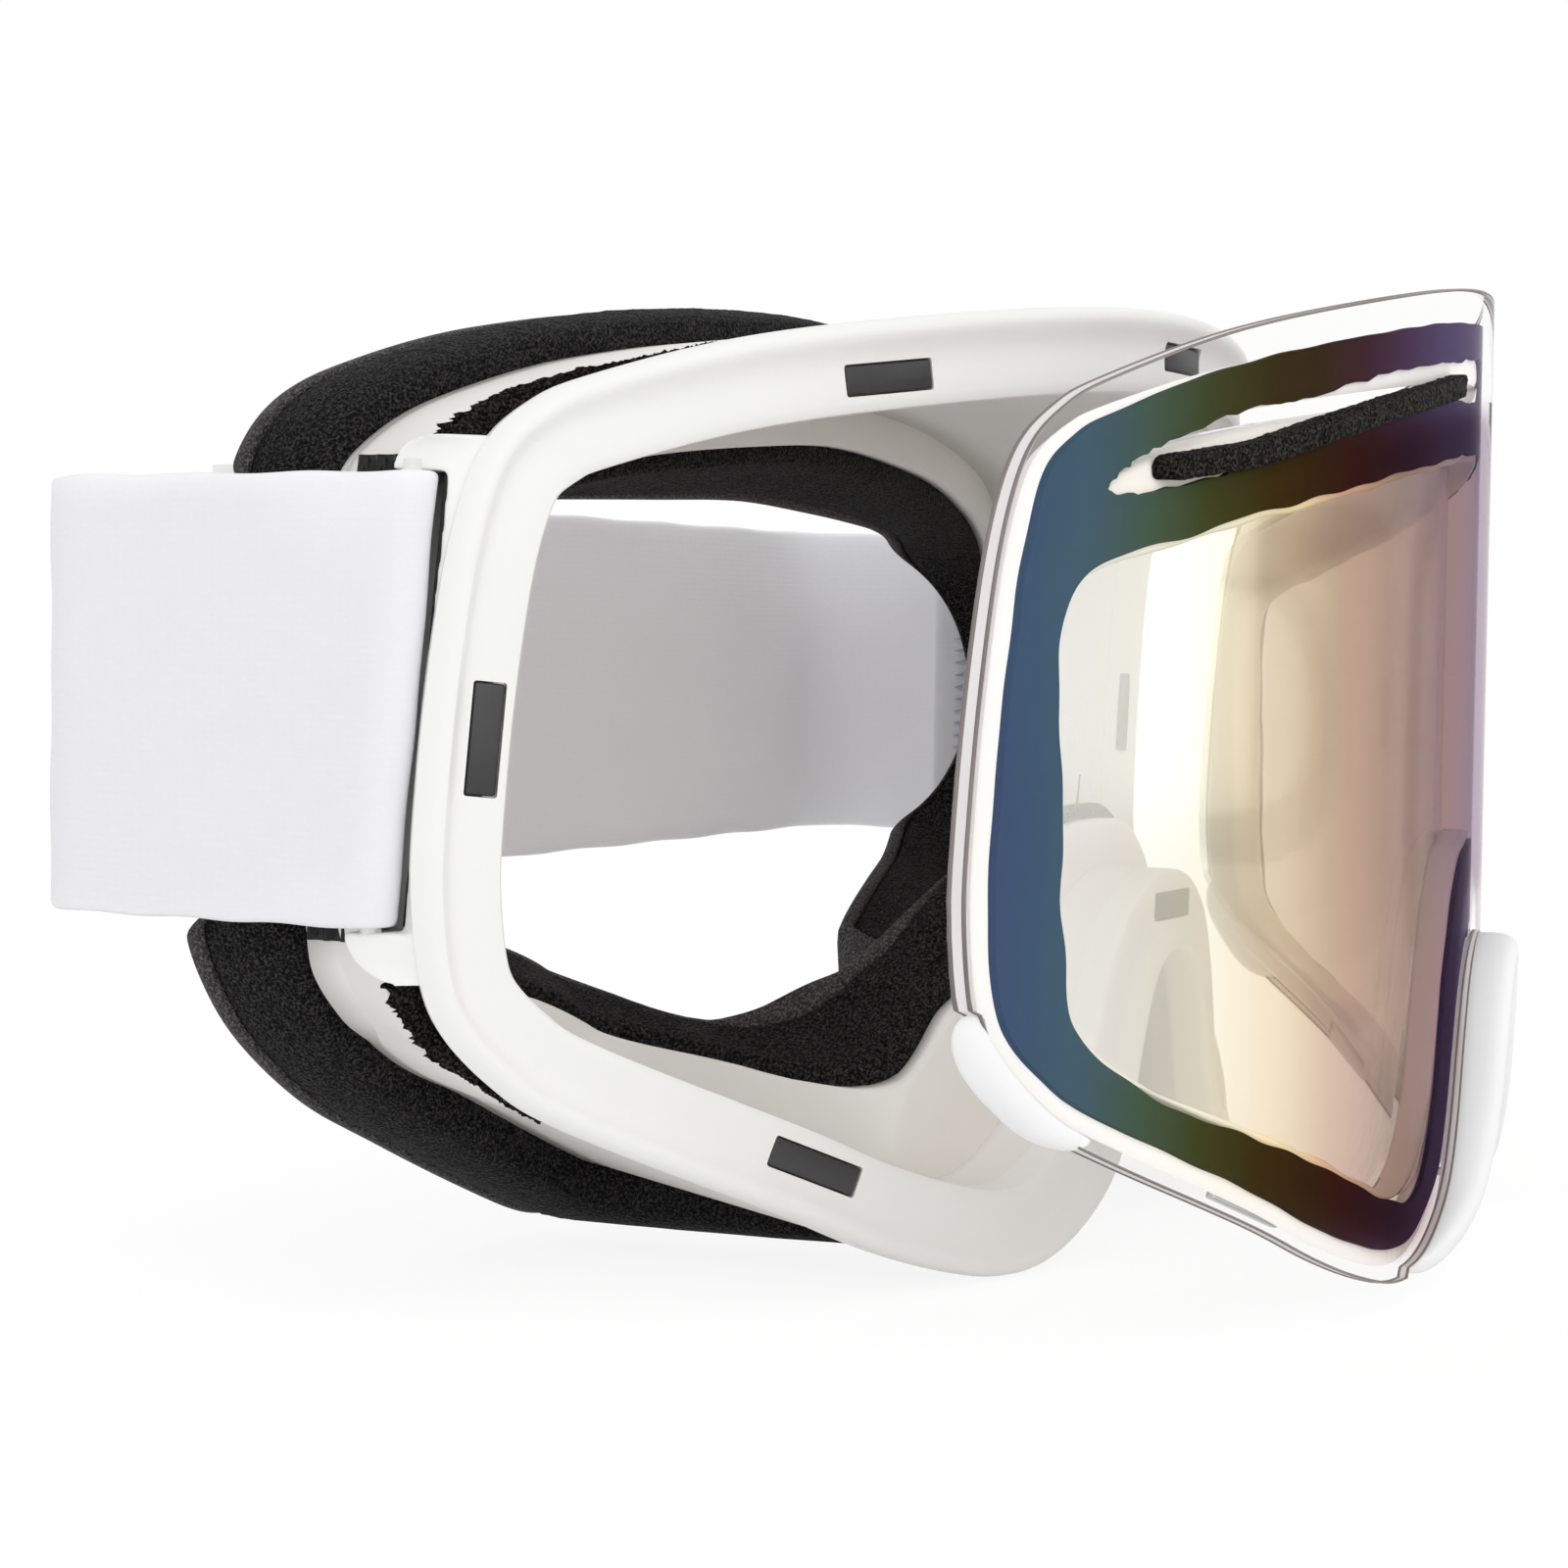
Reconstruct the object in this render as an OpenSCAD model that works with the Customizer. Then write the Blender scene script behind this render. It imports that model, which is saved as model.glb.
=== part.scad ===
// Goggles with a lens that lifts off its magnets, an elastic strap and layered face foam.
// Front is -Y, the wearer's left is +X, up is +Z. Millimetres.

/* [Frame] */
// Radius of the cylinder that the lens seat follows
seat_r = 114; // [105:1:125]
// How far the front of the seat stands ahead of the face plane
front_reach = 50; // [47:1:54]
// Half width of the rim, measured along its curve
rim_half_arc = 104.5; // [100:0.5:106]
// Height of the rim above the eye line, at the middle of the brow
brow_h = 51; // [47:1:55]
// Depth of the cheek lobes below the eye line
cheek_h = 54.4; // [50:0.2:58]
// Width of the flat lens seat round the opening
rim_w = 9.4; // [8.5:0.1:10]
// Thickness of the rim behind the seat
rim_t = 3.6; // [3.2:0.1:4.5]
// Width of the raised bead round the outside of the seat
bead_w = 1.7; // [1.3:0.1:2]
// Height of the bead above the seat
bead_h = 1.2; // [0.8:0.1:1.3]

/* [Face side] */
// Radius of the curve that the foam gives to the forehead
face_r = 225; // [215:1:240]
// Setback of the foam's rear face behind the face plane, in the middle
face_back = 9; // [6:0.5:12]
// Thickness of the whole foam pad
foam_t = 13; // [11:0.5:15]
// Thickness of the fleece that touches the face
fleece_t = 2; // [1.5:0.25:3]
// Radius of the hollow for the nose
nose_r = 38; // [34:1:40]
// Forward tilt of the nose hollow in degrees
nose_tilt = 25; // [20:1:28]
// How far the top of the nose hollow stands behind the face plane
nose_y = 18; // [16:0.5:20]
// Radius of the hollow that each temple has for the arm of a pair of spectacles
temple_r = 28; // [24:1:32]
// Wall thickness of the soft face frame
wall_t = 1.6; // [1.4:0.1:2]
// Thickness of the flange that carries the foam
flange_t = 2; // [1.6:0.1:2.6]
// Depth of the vent foam behind the rim
vent_t = 4.8; // [3.5:0.1:6]

/* [Lens] */
// Thickness of the outer lens
lens_t = 1.2; // [1:0.1:1.6]
// Thickness of the inner lens
inner_lens_t = 0.8; // [0.6:0.1:1]
// Depth of the foam spacer behind the carrier
spacer_t = 3; // [2:0.25:3.5]
// Thickness of the carrier behind the outer lens
carrier_t = 1.5; // [1.5:0.1:2]
// Thickness of the dark mask under the outer lens
mask_t = 0.5; // [0.4:0.1:0.8]
// Rise of the outer lens above the brow of the rim, in the middle
crest_h = 4; // [2:0.2:4.4]
// Angle by which the lens stands open at rest, in degrees
open_angle = 12.5; // [9:0.5:14]
// Height of the grip tabs above the lens
tab_rise = 2; // [1:0.25:3]
// Height of the nose guard above the lens
guard_rise = 3.2; // [2:0.2:4]

/* [Magnets] */
// Length of each magnet
magnet_l = 11; // [9:0.5:12]
// Width of each magnet
magnet_w = 3; // [2.5:0.1:3.4]
// Depth of each magnet
magnet_d = 2.2; // [1.8:0.1:2.4]
// Depth of the steel keepers in the lens carrier
keeper_d = 1.1; // [0.8:0.1:1.2]

/* [Strap] */
// Width of the elastic strap
strap_w = 44.5; // [38:0.5:46]
// Thickness of the elastic strap
strap_t = 1.4; // [1.2:0.1:1.6]
// Height of the strap's middle above the eye line
strap_z = 7; // [5:0.5:8]
// Distance from the face plane back to the strap's rear run
strap_back = 42.5; // [38:0.5:50]
// Outer radius of the strap's two rear bends
bend_r = 9; // [7:0.5:12]
// Radius of the bar that the strap folds round
bar_r = 1.2; // [1:0.1:1.4]
// Lean of the strap bars in degrees
bar_lean = 5.8; // [4:0.2:7]
// Width of the slider along the strap
slider_l = 22; // [18:1:26]
// Travel of the slider to each side, which the joint in the record follows
slider_travel = 10; // [6:1:14]

/* [Fits] */
// Gap between the closed lens carrier and the seat
seat_gap = 0.3; // [0.2:0.05:0.5]
// Gap round each magnet in its pocket
pocket_gap = 0.15; // [0.1:0.05:0.3]
// Gap between soft pieces and what they lie against
soft_gap = 0.3; // [0.2:0.05:0.4]

/* [Hidden] */
$fn = 96;
big = 400;
// Centre of the seat cylinder and of the face cylinder
seat_y = seat_r - front_reach;
face_y = face_back + face_r;
// The lens turns about this upright line, out beyond the wearer's left side
pivot_side = 141;
pivot_back = 22;
pivot = [pivot_side, pivot_back - front_reach];
// Ends of the upright cuts, ahead of the whole part and behind it
ahead = 95;
behind = 60;
// Curve steps between two outline points
steps = 3;

// Outline of the rim as shares of its half arc and of its heights, from brow to nose
rim_half = [[0, 1], [0.227, 0.978], [0.484, 0.918], [0.68, 0.853], [0.83, 0.769],
    [0.891, 0.714], [0.937, 0.625], [0.965, 0.47], [0.984, 0.235], [0.997, -0.037],
    [1, -0.24], [0.982, -0.432], [0.9215, -0.57], [0.842, -0.66], [0.634, -0.8235],
    [0.535, -0.906], [0.445, -0.965], [0.358, -1], [0.282, -0.991], [0.2125, -0.934],
    [0.153, -0.842], [0.115, -0.708], [0.086, -0.551], [0.053, -0.441], [0, -0.404]];
// Outline of the clear window inside the dark mask
window_half = [[0, 0.637], [0.175, 0.616], [0.389, 0.563], [0.526, 0.518], [0.637, 0.482],
    [0.731, 0.438], [0.8, 0.41], [0.845, 0.363], [0.862, 0.29], [0.864, 0.16],
    [0.858, -0.055], [0.858, -0.19], [0.849, -0.353], [0.837, -0.415], [0.807, -0.469],
    [0.759, -0.522], [0.691, -0.579], [0.566, -0.656], [0.443, -0.743], [0.335, -0.812],
    [0.265, -0.81], [0.225, -0.72], [0.195, -0.55], [0.165, -0.35], [0.115, -0.2],
    [0.055, -0.16], [0, -0.15]];
// Outline of the foam pad
foam_half = [[0, 1.03], [0.18, 1.015], [0.348, 0.982], [0.505, 0.932], [0.602, 0.89],
    [0.696, 0.837], [0.766, 0.788], [0.818, 0.731], [0.856, 0.657], [0.88, 0.56],
    [0.908, 0.4], [0.932, 0.15], [0.945, -0.12], [0.942, -0.3], [0.915, -0.42],
    [0.86, -0.54], [0.763, -0.671], [0.658, -0.765], [0.524, -0.879], [0.42, -0.965],
    [0.345, -0.995], [0.275, -0.985], [0.208, -0.93], [0.152, -0.842], [0.115, -0.708],
    [0.086, -0.551], [0.053, -0.441], [0, -0.404]];
// Outline of the eye opening in the foam
eye_half = [[0, 0.627], [0.287, 0.618], [0.526, 0.569], [0.7, 0.5], [0.81, 0.37],
    [0.85, 0.157], [0.858, -0.075], [0.835, -0.24], [0.75, -0.38], [0.593, -0.478],
    [0.459, -0.58], [0.364, -0.625], [0.297, -0.57], [0.249, -0.405], [0.182, -0.184],
    [0.096, -0.083], [0, -0.055]];
// Outline of the vent slot in the upper part of the mask, one side, outer tip first
slot_pts = [[0.82, 0.51], [0.795, 0.562], [0.752, 0.604], [0.64, 0.672], [0.554, 0.694],
    [0.393, 0.755], [0.19, 0.8], [0.19, 0.71], [0.393, 0.655], [0.554, 0.598],
    [0.64, 0.552], [0.777, 0.5]];
// Middle line of the vent foam strip in that slot, and half its height
strip_line = [[0.745, 0.568], [0.64, 0.592], [0.53, 0.642], [0.393, 0.694], [0.2, 0.752]];
strip_half = 1.8;
strip_gap = 0.2;
strip_rise = 0.3;

// Places of the magnets: share of half arc, height in shares, lean, upright or not
magnet_places = [[0.514, 0.791, -7.3, false], [0.932, 0.066, 4.85, true],
    [0.59, -0.742, 21.9, false]];
brow_magnet_z = 0.9;
// Depth of each magnet's face below the seat
magnet_sink = 0.2;
nose_magnet_z = -0.307;

// Insets from the rim outline and from the outlines of the lens
lens_in = 2.3;
carrier_in = 0.3;
bumper_in = 1;
// How far the cut at the lens's edge reaches past the rim
edge_cut = 4;
spacer_lip = 1;
vent_in = 3.6;
seat_lip = 0.8;
pane_lip = 1.2;
spacer_in = rim_w + pane_lip;
grip_in = 1.9;
guard_in = 0.5;
mask_in = 3.2;
lens_side_fit = 0.98;
// Inset of the flange from the foam outline
flange_in = 4;
// Lip of the flange inside the foam's eye opening
eye_lip = 2;
// Height above and below the strap that the outer wall and the vents leave free
strap_room = 4.5;
vent_room = 5;
// Half width of the nose bridge, where there is no vent
vent_nose = 22;
// Top of the nose hollow, its length, and how much of the foam's depth it keeps there
nose_z = 4;
nose_h = 90;
nose_share = 0.7;
// Middle of the hollow at the temples, and how much of the foam's depth it keeps there
temple_back = 12;
temple_at = [temple_r + temple_back, strap_z];
temple_share = 0.25;
// Middle and radius of the lens corners that carry the grip tabs
grip_share = [0.9252, -0.487];
grip_r = 7.4;
// Half width and top of the nose guard, as shares of the rim's size
guard_share = [0.32, -0.19];

// Radii of the flange, where the vents end and where the foam starts
flange_r1 = seat_r - rim_t - vent_t - 2 * soft_gap;
flange_r0 = flange_r1 - flange_t;

// Radii of the closed lens stack, from the seat outwards
carrier_r0 = seat_r + seat_gap;
carrier_r1 = carrier_r0 + carrier_t;
mask_r1 = carrier_r1 + mask_t;
lens_r1 = mask_r1 + lens_t;
spacer_r0 = carrier_r1 - spacer_t;
inner_r0 = spacer_r0 - inner_lens_t;

// Outermost line of the rim, at the wearer's side
rim_x = seat_r * sin(rim_half_arc / seat_r * 180 / PI);
rim_side_y = seat_y - seat_r * cos(rim_half_arc / seat_r * 180 / PI);

// Strap bar at that line, and the fold of the strap round it
bar_gap = 0.2;
fold_r = bar_r + bar_gap + strap_t;
// The bar stands off the inner wall by the dark clip, its ribs and a gap
wall_x = seat_r * sin((rim_half_arc - rim_w + wall_t) / seat_r * 180 / PI);
clip_rise = 0.35;
rib_r = 0.6;
rib_gap = 0.4;
bar_x = wall_x + clip_rise + rib_r + rib_gap + fold_r;
bar_back = 3.1;
bar_y = rim_side_y + bar_back;
strap_lo = strap_z - strap_w / 2;
strap_hi = strap_z + strap_w / 2;
outer_x = bar_x + fold_r;
arm_t = 2.9;
arm_gap = 0.5;
arm_l = 5.4;
arm_w = 4.4;
arm_back = 0.6;
// Lengths of the two legs that leave the fold towards the back
leg_in = 6.5;
leg_out = 15;
// Height along the side where the outer leg runs on as the strap's long run
run_y0 = bar_y + leg_out / 2;
// Height along the side where the inner layers start and where they meet the outer one
layer_in = 3.75;
layer_out = 14.25;
layer_y0 = bar_y + layer_in;
layer_y1 = bar_y + layer_out;
layer_step = 0.4;
// Dark clip behind the fold: its plate and the two ribs on it
clip_t = 2.6;
clip_x = wall_x + clip_rise - clip_t;
clip_front = 4.05;
clip_y = bar_y - clip_front;
clip_l = 10.5;
clip_more = 3.8;
clip_h = strap_w + 2 * clip_more;
clip_lift = 0.2;
// Places of the two ribs along the clip
ribs = [7, 9.5];
return_gap = 0.3;
// End of the short sewn layer, and the stitched patch on it
sewn_y = 22;
tack_w = 3;
tack_t = 0.5;
slider_x = -46;
// How far the inner layer runs on past the slider's travel
return_lap = 4;
slider_rim = 2.6;
slider_gap = 0.4;
slider_rise = 2;
// How far the webbing tab runs on from the slider's bar, and where it starts to slope
tab_l = 24;
tab_run = 4;
tab_slope = 10;
strip_x = -24;
strip_l = 22;
grip_t = 0.5;
grip_w = 3;
grip_pitch = 12;

function share(p) = [p[0] * rim_half_arc, p[1] * (p[1] > 0 ? brow_h : cheek_h)];
function turn(s) = s / seat_r * 180 / PI;
function to_front(p) = [seat_r * sin(turn(p[0])), p[1]];
function closed(half) = concat([for (p = half) share(p)],
    [for (i = [len(half) - 2:-1:1]) let (q = share(half[i])) [-q[0], q[1]]]);
function curve4(a, b, c, d, t) = 0.5 * (2 * b + (c - a) * t
    + (2 * a - 5 * b + 4 * c - d) * t * t + (3 * b - a - 3 * c + d) * t * t * t);
function smooth(p) = let (n = len(p)) [for (i = [0:n - 1], k = [0:steps - 1])
    curve4(p[(i + n - 1) % n], p[i], p[(i + 1) % n], p[(i + 2) % n], k / steps)];
function inset(p, d) = let (n = len(p)) [for (i = [0:n - 1])
    let (t = p[(i + 1) % n] - p[(i + n - 1) % n]) p[i] + d / norm(t) * [t[1], -t[0]]];
function fronted(p) = [for (q = p) to_front(q)];

// The lens stands a little taller than the rim towards the middle of the brow
function lifted(p, rise = crest_h) = [p[0], p[1]
    + rise * max(p[1], 0) / brow_h * (1 - pow(p[0] / rim_half_arc, 2))];

rim_flat = smooth(closed(rim_half));
foam_flat = smooth(closed(foam_half));
eye_flat = smooth(closed(eye_half));
window_flat = [for (q = smooth(closed(window_half))) lifted(q)];
function rim_line(d) = fronted(inset(rim_flat, d));
function foam_line(d) = fronted(inset(foam_flat, d));
function lens_line(d, rise = crest_h) = [for (q = inset(rim_flat, lens_in + d))
    to_front(lifted([q[0] * lens_side_fit, q[1]], rise))];

module upright(path, y0 = -ahead, y1 = behind) {
    translate([0, y1, 0]) rotate([90, 0, 0]) linear_extrude(height = y1 - y0) polygon(path);
}

module ring_prism(outer, inner) {
    difference() {
        upright(outer);
        upright(inner, -ahead - 1, behind + 1);
    }
}

module drum(r) {
    translate([0, seat_y, -big / 4]) cylinder(r = r, h = big / 2, $fn = 180);
}

module shell(r0, r1) {
    difference() {
        drum(r1);
        translate([0, seat_y, -big / 3]) cylinder(r = r0, h = big, $fn = 180);
    }
}

// Everything behind the face line, grown forward by d
module face_body(d) {
    translate([0, face_y, -big / 4]) cylinder(r = face_r + d, h = big / 2, $fn = 240);
    translate([0, nose_y, nose_z]) rotate([-nose_tilt, 0, 0]) translate([0, 0, -nose_h])
        cylinder(r = nose_r + nose_share * d, h = nose_h, $fn = 120);
    translate([-big / 2, temple_at[0], temple_at[1]]) rotate([0, 90, 0])
        cylinder(r = temple_r + temple_share * d, h = big, $fn = 120);
}

module on_seat(s, z, r) {
    translate([0, seat_y, 0]) rotate([0, 0, turn(s)]) translate([0, -r, z]) children();
}

// The same, but no further forward than the cylinder of radius r
module face_side(d, r) {
    intersection() {
        face_body(d);
        drum(r);
    }
}

// Blocks at all the magnet places, from radius r0 to r1, grown by g
module magnet_blocks(r0, r1, g) {
    for (m = magnet_places, side = [-1, 1]) {
        at = share([m[0], m[1]]);
        on_seat(side * at[0], at[1], r1) rotate([0, side * m[2] * -1, 0])
            translate([-(m[3] ? magnet_w : magnet_l) / 2 - g, 0, -(m[3] ? magnet_l : magnet_w) / 2 - g])
            cube([(m[3] ? magnet_w : magnet_l) + 2 * g, r1 - r0, (m[3] ? magnet_l : magnet_w) + 2 * g]);
    }
    for (z = [brow_magnet_z * brow_h, nose_magnet_z * cheek_h])
        on_seat(0, z, r1) translate([-magnet_l / 2 - g, 0, -magnet_w / 2 - g])
            cube([magnet_l + 2 * g, r1 - r0, magnet_w + 2 * g]);
}

module rim_blank() {
    intersection() {
        ring_prism(rim_line(0), rim_line(rim_w));
        shell(seat_r - rim_t, seat_r);
    }
    intersection() {
        ring_prism(rim_line(0), rim_line(bead_w));
        shell(seat_r - rim_t, seat_r + bead_h);
    }
}

// Room that the back of the rim leaves for the fold of the strap
module strap_relief() {
    along_bar(-strap_w / 2 - soft_gap)
        cylinder(r = fold_r + soft_gap, h = strap_w + 2 * soft_gap);
}

module front_rim() {
    color("white") difference() {
        rim_blank();
        magnet_blocks(seat_r - magnet_d - magnet_sink, seat_r + bead_h + 1, pocket_gap);
        strap_relief();
        mirror([1, 0, 0]) strap_relief();
    }
}

module seat_magnets() {
    color("dimgray") magnet_blocks(seat_r - magnet_d - magnet_sink, seat_r - magnet_sink, 0);
}

// Soft face frame: inner wall, outer shroud above and below the strap, and the flange
module face_frame() {
    color("whitesmoke") {
        difference() {
            intersection() {
                ring_prism(rim_line(rim_w - wall_t), rim_line(rim_w));
                drum(seat_r - rim_t);
            }
            face_side(foam_t + flange_t / 2, flange_r1 - flange_t / 2);
        }
        difference() {
            intersection() {
                ring_prism(foam_line(flange_in), foam_line(flange_in + wall_t));
                drum(flange_r1);
            }
            face_side(foam_t + flange_t / 2, flange_r1 - flange_t / 2);
            translate([-big / 2, -big / 2, strap_lo - strap_room])
                cube([big, big, strap_w + 2 * strap_room]);
        }
        intersection() {
            ring_prism(foam_line(flange_in), fronted(inset(eye_flat, -eye_lip)));
            difference() {
                face_side(foam_t + flange_t, flange_r1);
                face_side(foam_t, flange_r0);
            }
        }
    }
}

module vent_band(z0, z1, x0, x1) {
    color("#151515") intersection() {
        ring_prism(rim_line(vent_in), rim_line(rim_w - wall_t - soft_gap));
        shell(seat_r - rim_t - vent_t - soft_gap, seat_r - rim_t - soft_gap);
        translate([x0, -ahead, z0]) cube([x1 - x0, ahead + behind, z1 - z0]);
    }
}

module vent_foam_top() {
    vent_band(strap_hi + vent_room, brow_h + vent_room, -big / 2, big / 2);
}

module vent_foam_lower_left() {
    vent_band(-cheek_h - vent_room, strap_lo - vent_room, vent_nose, big / 2);
}

module vent_foam_lower_right() {
    vent_band(-cheek_h - vent_room, strap_lo - vent_room, -big / 2, -vent_nose);
}

module foam_layer(d0, d1, open_in, edge_in) {
    intersection() {
        ring_prism(foam_line(edge_in), fronted(inset(eye_flat, open_in)));
        drum(flange_r0);
        difference() {
            face_body(d0);
            face_body(d1);
        }
    }
}

module foam_base() {
    color("#101010") foam_layer(foam_t, foam_t / 2, -1.5, 0.7);
}

module foam_middle() {
    color("#1c1c1c") foam_layer(foam_t / 2, fleece_t, -0.5, 0);
}

module face_fleece() {
    color("#262626") foam_layer(fleece_t, 0, 0.8, 0.9);
}

// The bar's middle line leans, so that its foot is further back than its head
module along_bar(z = 0) {
    translate([bar_x, bar_y, strap_z]) rotate([bar_lean, 0, 0]) translate([0, 0, z]) children();
}

module strap_arm() {
    difference() {
        union() {
            along_bar(-strap_w / 2 - arm_t) cylinder(r = bar_r, h = strap_w + 2 * arm_t);
            for (z = [-strap_w / 2 - arm_gap - arm_t, strap_w / 2 + arm_gap]) along_bar(z) {
                translate([0, arm_back, 0]) cylinder(r = fold_r, h = arm_t);
                translate([-arm_l, -arm_w, 0]) cube([arm_l + fold_r, arm_w + arm_back, arm_t]);
            }
        }
        difference() {
            upright(rim_line(0));
            drum(seat_r - rim_t);
            strap_relief();
        }
        upright(rim_line(rim_w - wall_t));
    }
}

module outrigger_left() {
    color("white") strap_arm();
}

module outrigger_right() {
    color("white") mirror([1, 0, 0]) strap_arm();
}

// Dark clip on the side wall behind the strap's fold
module strap_clip() {
    color("#0c0c0c") difference() {
        translate([clip_x, clip_y, strap_z - clip_h / 2 + clip_lift]) {
            cube([clip_t, clip_l, clip_h]);
            for (y = ribs) translate([clip_t, y, 0]) cylinder(r = rib_r, h = clip_h, $fn = 24);
        }
        upright(rim_line(rim_w - wall_t));
        intersection() {
            ring_prism(rim_line(0), rim_line(rim_w));
            shell(seat_r - rim_t - soft_gap, seat_r + bead_h + 1);
        }
        strap_arm();
    }
}

module strap_clip_left() {
    strap_clip();
}

module strap_clip_right() {
    mirror([1, 0, 0]) strap_clip();
}

module strap_window() {
    translate([-big / 2, -big / 2, strap_lo]) cube([big, big, strap_w]);
}

module fold() {
    intersection() {
        strap_window();
        along_bar(-strap_w) difference() {
            union() {
                cylinder(r = fold_r, h = 2 * strap_w);
                translate([-fold_r, 0, 0]) cube([strap_t, leg_in, 2 * strap_w]);
                translate([fold_r - strap_t, 0, 0]) cube([strap_t, leg_out, 2 * strap_w]);
            }
            translate([0, 0, -1]) cylinder(r = fold_r - strap_t, h = 2 * strap_w + 2);
            translate([-fold_r + strap_t, 0, -1])
                cube([2 * (fold_r - strap_t), 20, 2 * strap_w + 2]);
        }
    }
}

function arc_pts(c, r, a0, a1, n = 10) = [for (k = [0:n])
    c + r * [cos(a0 + (a1 - a0) * k / n), sin(a0 + (a1 - a0) * k / n)]];

// Plan of the strap's long run from one bar round the back to the other
function run_plan(out) = let (r = bend_r + out, c = [outer_x - bend_r, strap_back - bend_r])
    concat([[c[0] + r, run_y0]], arc_pts(c, r, 0, 90),
    arc_pts([-c[0], c[1]], r, 90, 180), [[-c[0] - r, run_y0]]);

module strap_webbing() {
    plan = concat(run_plan(0), [for (i = [len(run_plan(0)) - 1:-1:0]) run_plan(-strap_t)[i]]);
    color("#e8e8f0") {
        translate([0, 0, strap_lo]) linear_extrude(height = strap_w) polygon(plan);
        fold();
        mirror([1, 0, 0]) fold();
    }
}

// Inner layers: a short sewn end on the left, and on the right the end that runs to the slider
function return_plan(end) = let (x0 = bar_x - fold_r, off = strap_t + return_gap,
    r0 = bend_r - off, r1 = r0 - strap_t, c = [outer_x - bend_r, strap_back - bend_r])
    concat([[x0, layer_y0], [c[0] + r1, layer_y1]], arc_pts(c, r1, 0, 90), [[end, c[1] + r1]],
    [[end, c[1] + r0]], arc_pts(c, r0, 90, 0),
    [[c[0] + r0, layer_y1 - layer_step], [x0 + strap_t, layer_y0]]);

function sewn_plan() = let (x0 = bar_x - fold_r, x1 = outer_x - strap_t - return_gap)
    [[x0, layer_y0], [x1 - strap_t, layer_y1], [x1 - strap_t, sewn_y], [x1, sewn_y],
    [x1, layer_y1 - layer_step], [x0 + strap_t, layer_y0]];

module strap_return() {
    color("#dcdce6") difference() {
        translate([0, 0, strap_lo]) linear_extrude(height = strap_w) {
            mirror([1, 0]) polygon(return_plan(-slider_x + slider_travel + return_lap));
            polygon(sewn_plan());
        }
        fold();
        mirror([1, 0, 0]) fold();
    }
}

// Stitched patches that close the sewn loops
module tack() {
    translate([outer_x - 2 * strap_t - return_gap - tack_t, sewn_y - 2 * tack_w, strap_lo + tack_w])
        cube([tack_t, tack_w, strap_w - 2 * tack_w]);
}

module strap_bar_tack() {
    color("#c8c8d2") {
        tack();
        mirror([1, 0, 0]) tack();
    }
}

// Silicone lines on the inside of the rear run
module grip_strips() {
    color("#b8b8c0") for (z = [-grip_pitch, 0, grip_pitch])
        translate([strip_x, strap_back - strap_t - grip_t, strap_z + z - grip_w / 2])
            cube([strip_l, grip_t, grip_w]);
}

bar_mid_y = strap_back - strap_t - return_gap - fold_r;

module slider() {
    slot = strap_w + 2 * slider_gap;
    low = strap_lo - slider_gap - slider_rim;
    depth = strap_back + slider_rise - bar_mid_y + bar_r;
    color("#f0f0f0") translate([slider_x, 0, low]) {
        for (z = [0, slot + slider_rim]) translate([-slider_l / 2, bar_mid_y - bar_r, z])
            cube([slider_l, depth, slider_rim]);
        for (x = [-slider_l / 2, slider_l / 2 - slider_rim])
            translate([x, strap_back + return_gap, 0])
                cube([slider_rim, slider_rise - return_gap, slot + 2 * slider_rim]);
        translate([0, bar_mid_y, slider_rim / 2])
            cylinder(r = bar_r, h = slot + slider_rim, $fn = 48);
    }
}

// Webbing end that folds round the slider's middle bar and lies under the inner layer
module slider_tab() {
    under_y = strap_back - 3 * strap_t - 2 * return_gap;
    fold_y = bar_mid_y - fold_r;
    run_x = -tab_run - tab_slope;
    color("#dcdce6") translate([slider_x, 0, strap_lo]) {
        difference() {
            translate([0, bar_mid_y, 0]) cylinder(r = fold_r, h = strap_w);
            translate([0, bar_mid_y, -1]) cylinder(r = fold_r - strap_t, h = strap_w + 2);
            translate([-big, 0, -1]) cube([big, big, strap_w + 2]);
        }
        translate([-tab_run, bar_mid_y + fold_r - strap_t, 0])
            cube([tab_run, strap_t, strap_w]);
        linear_extrude(height = strap_w) polygon([[0, fold_y], [0, fold_y + strap_t],
            [-tab_run, fold_y + strap_t], [run_x, under_y + strap_t],
            [-tab_l, under_y + strap_t], [-tab_l, under_y], [run_x - 0.6, under_y],
            [-tab_run - 0.6, fold_y]]);
    }
}

// The lens stack is drawn closed and then turned to where it stands at rest
module opened() {
    translate([pivot[0], pivot[1], 0]) rotate([0, 0, open_angle])
        translate([-pivot[0], -pivot[1], 0]) children();
}

module corner_zone(side) {
    at = to_front(share(grip_share));
    translate([side * at[0], behind, at[1]]) rotate([90, 0, 0])
        cylinder(r = grip_r, h = behind + ahead, $fn = 60);
}

module nose_zone() {
    half = guard_share[0] * rim_half_arc;
    top = guard_share[1] * cheek_h;
    low = -1.2 * cheek_h;
    upright([[-half, top], [half, top], [half, low], [-half, low]]);
}

module edge_zones() {
    corner_zone(-1);
    corner_zone(1);
    nose_zone();
}

module vent_slots() {
    for (side = [-1, 1])
        upright([for (p = slot_pts) let (q = to_front(lifted(share(p)))) [side * q[0], q[1]]]);
}

function strip_front() = [for (p = strip_line) to_front(lifted(share(p)))];

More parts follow.
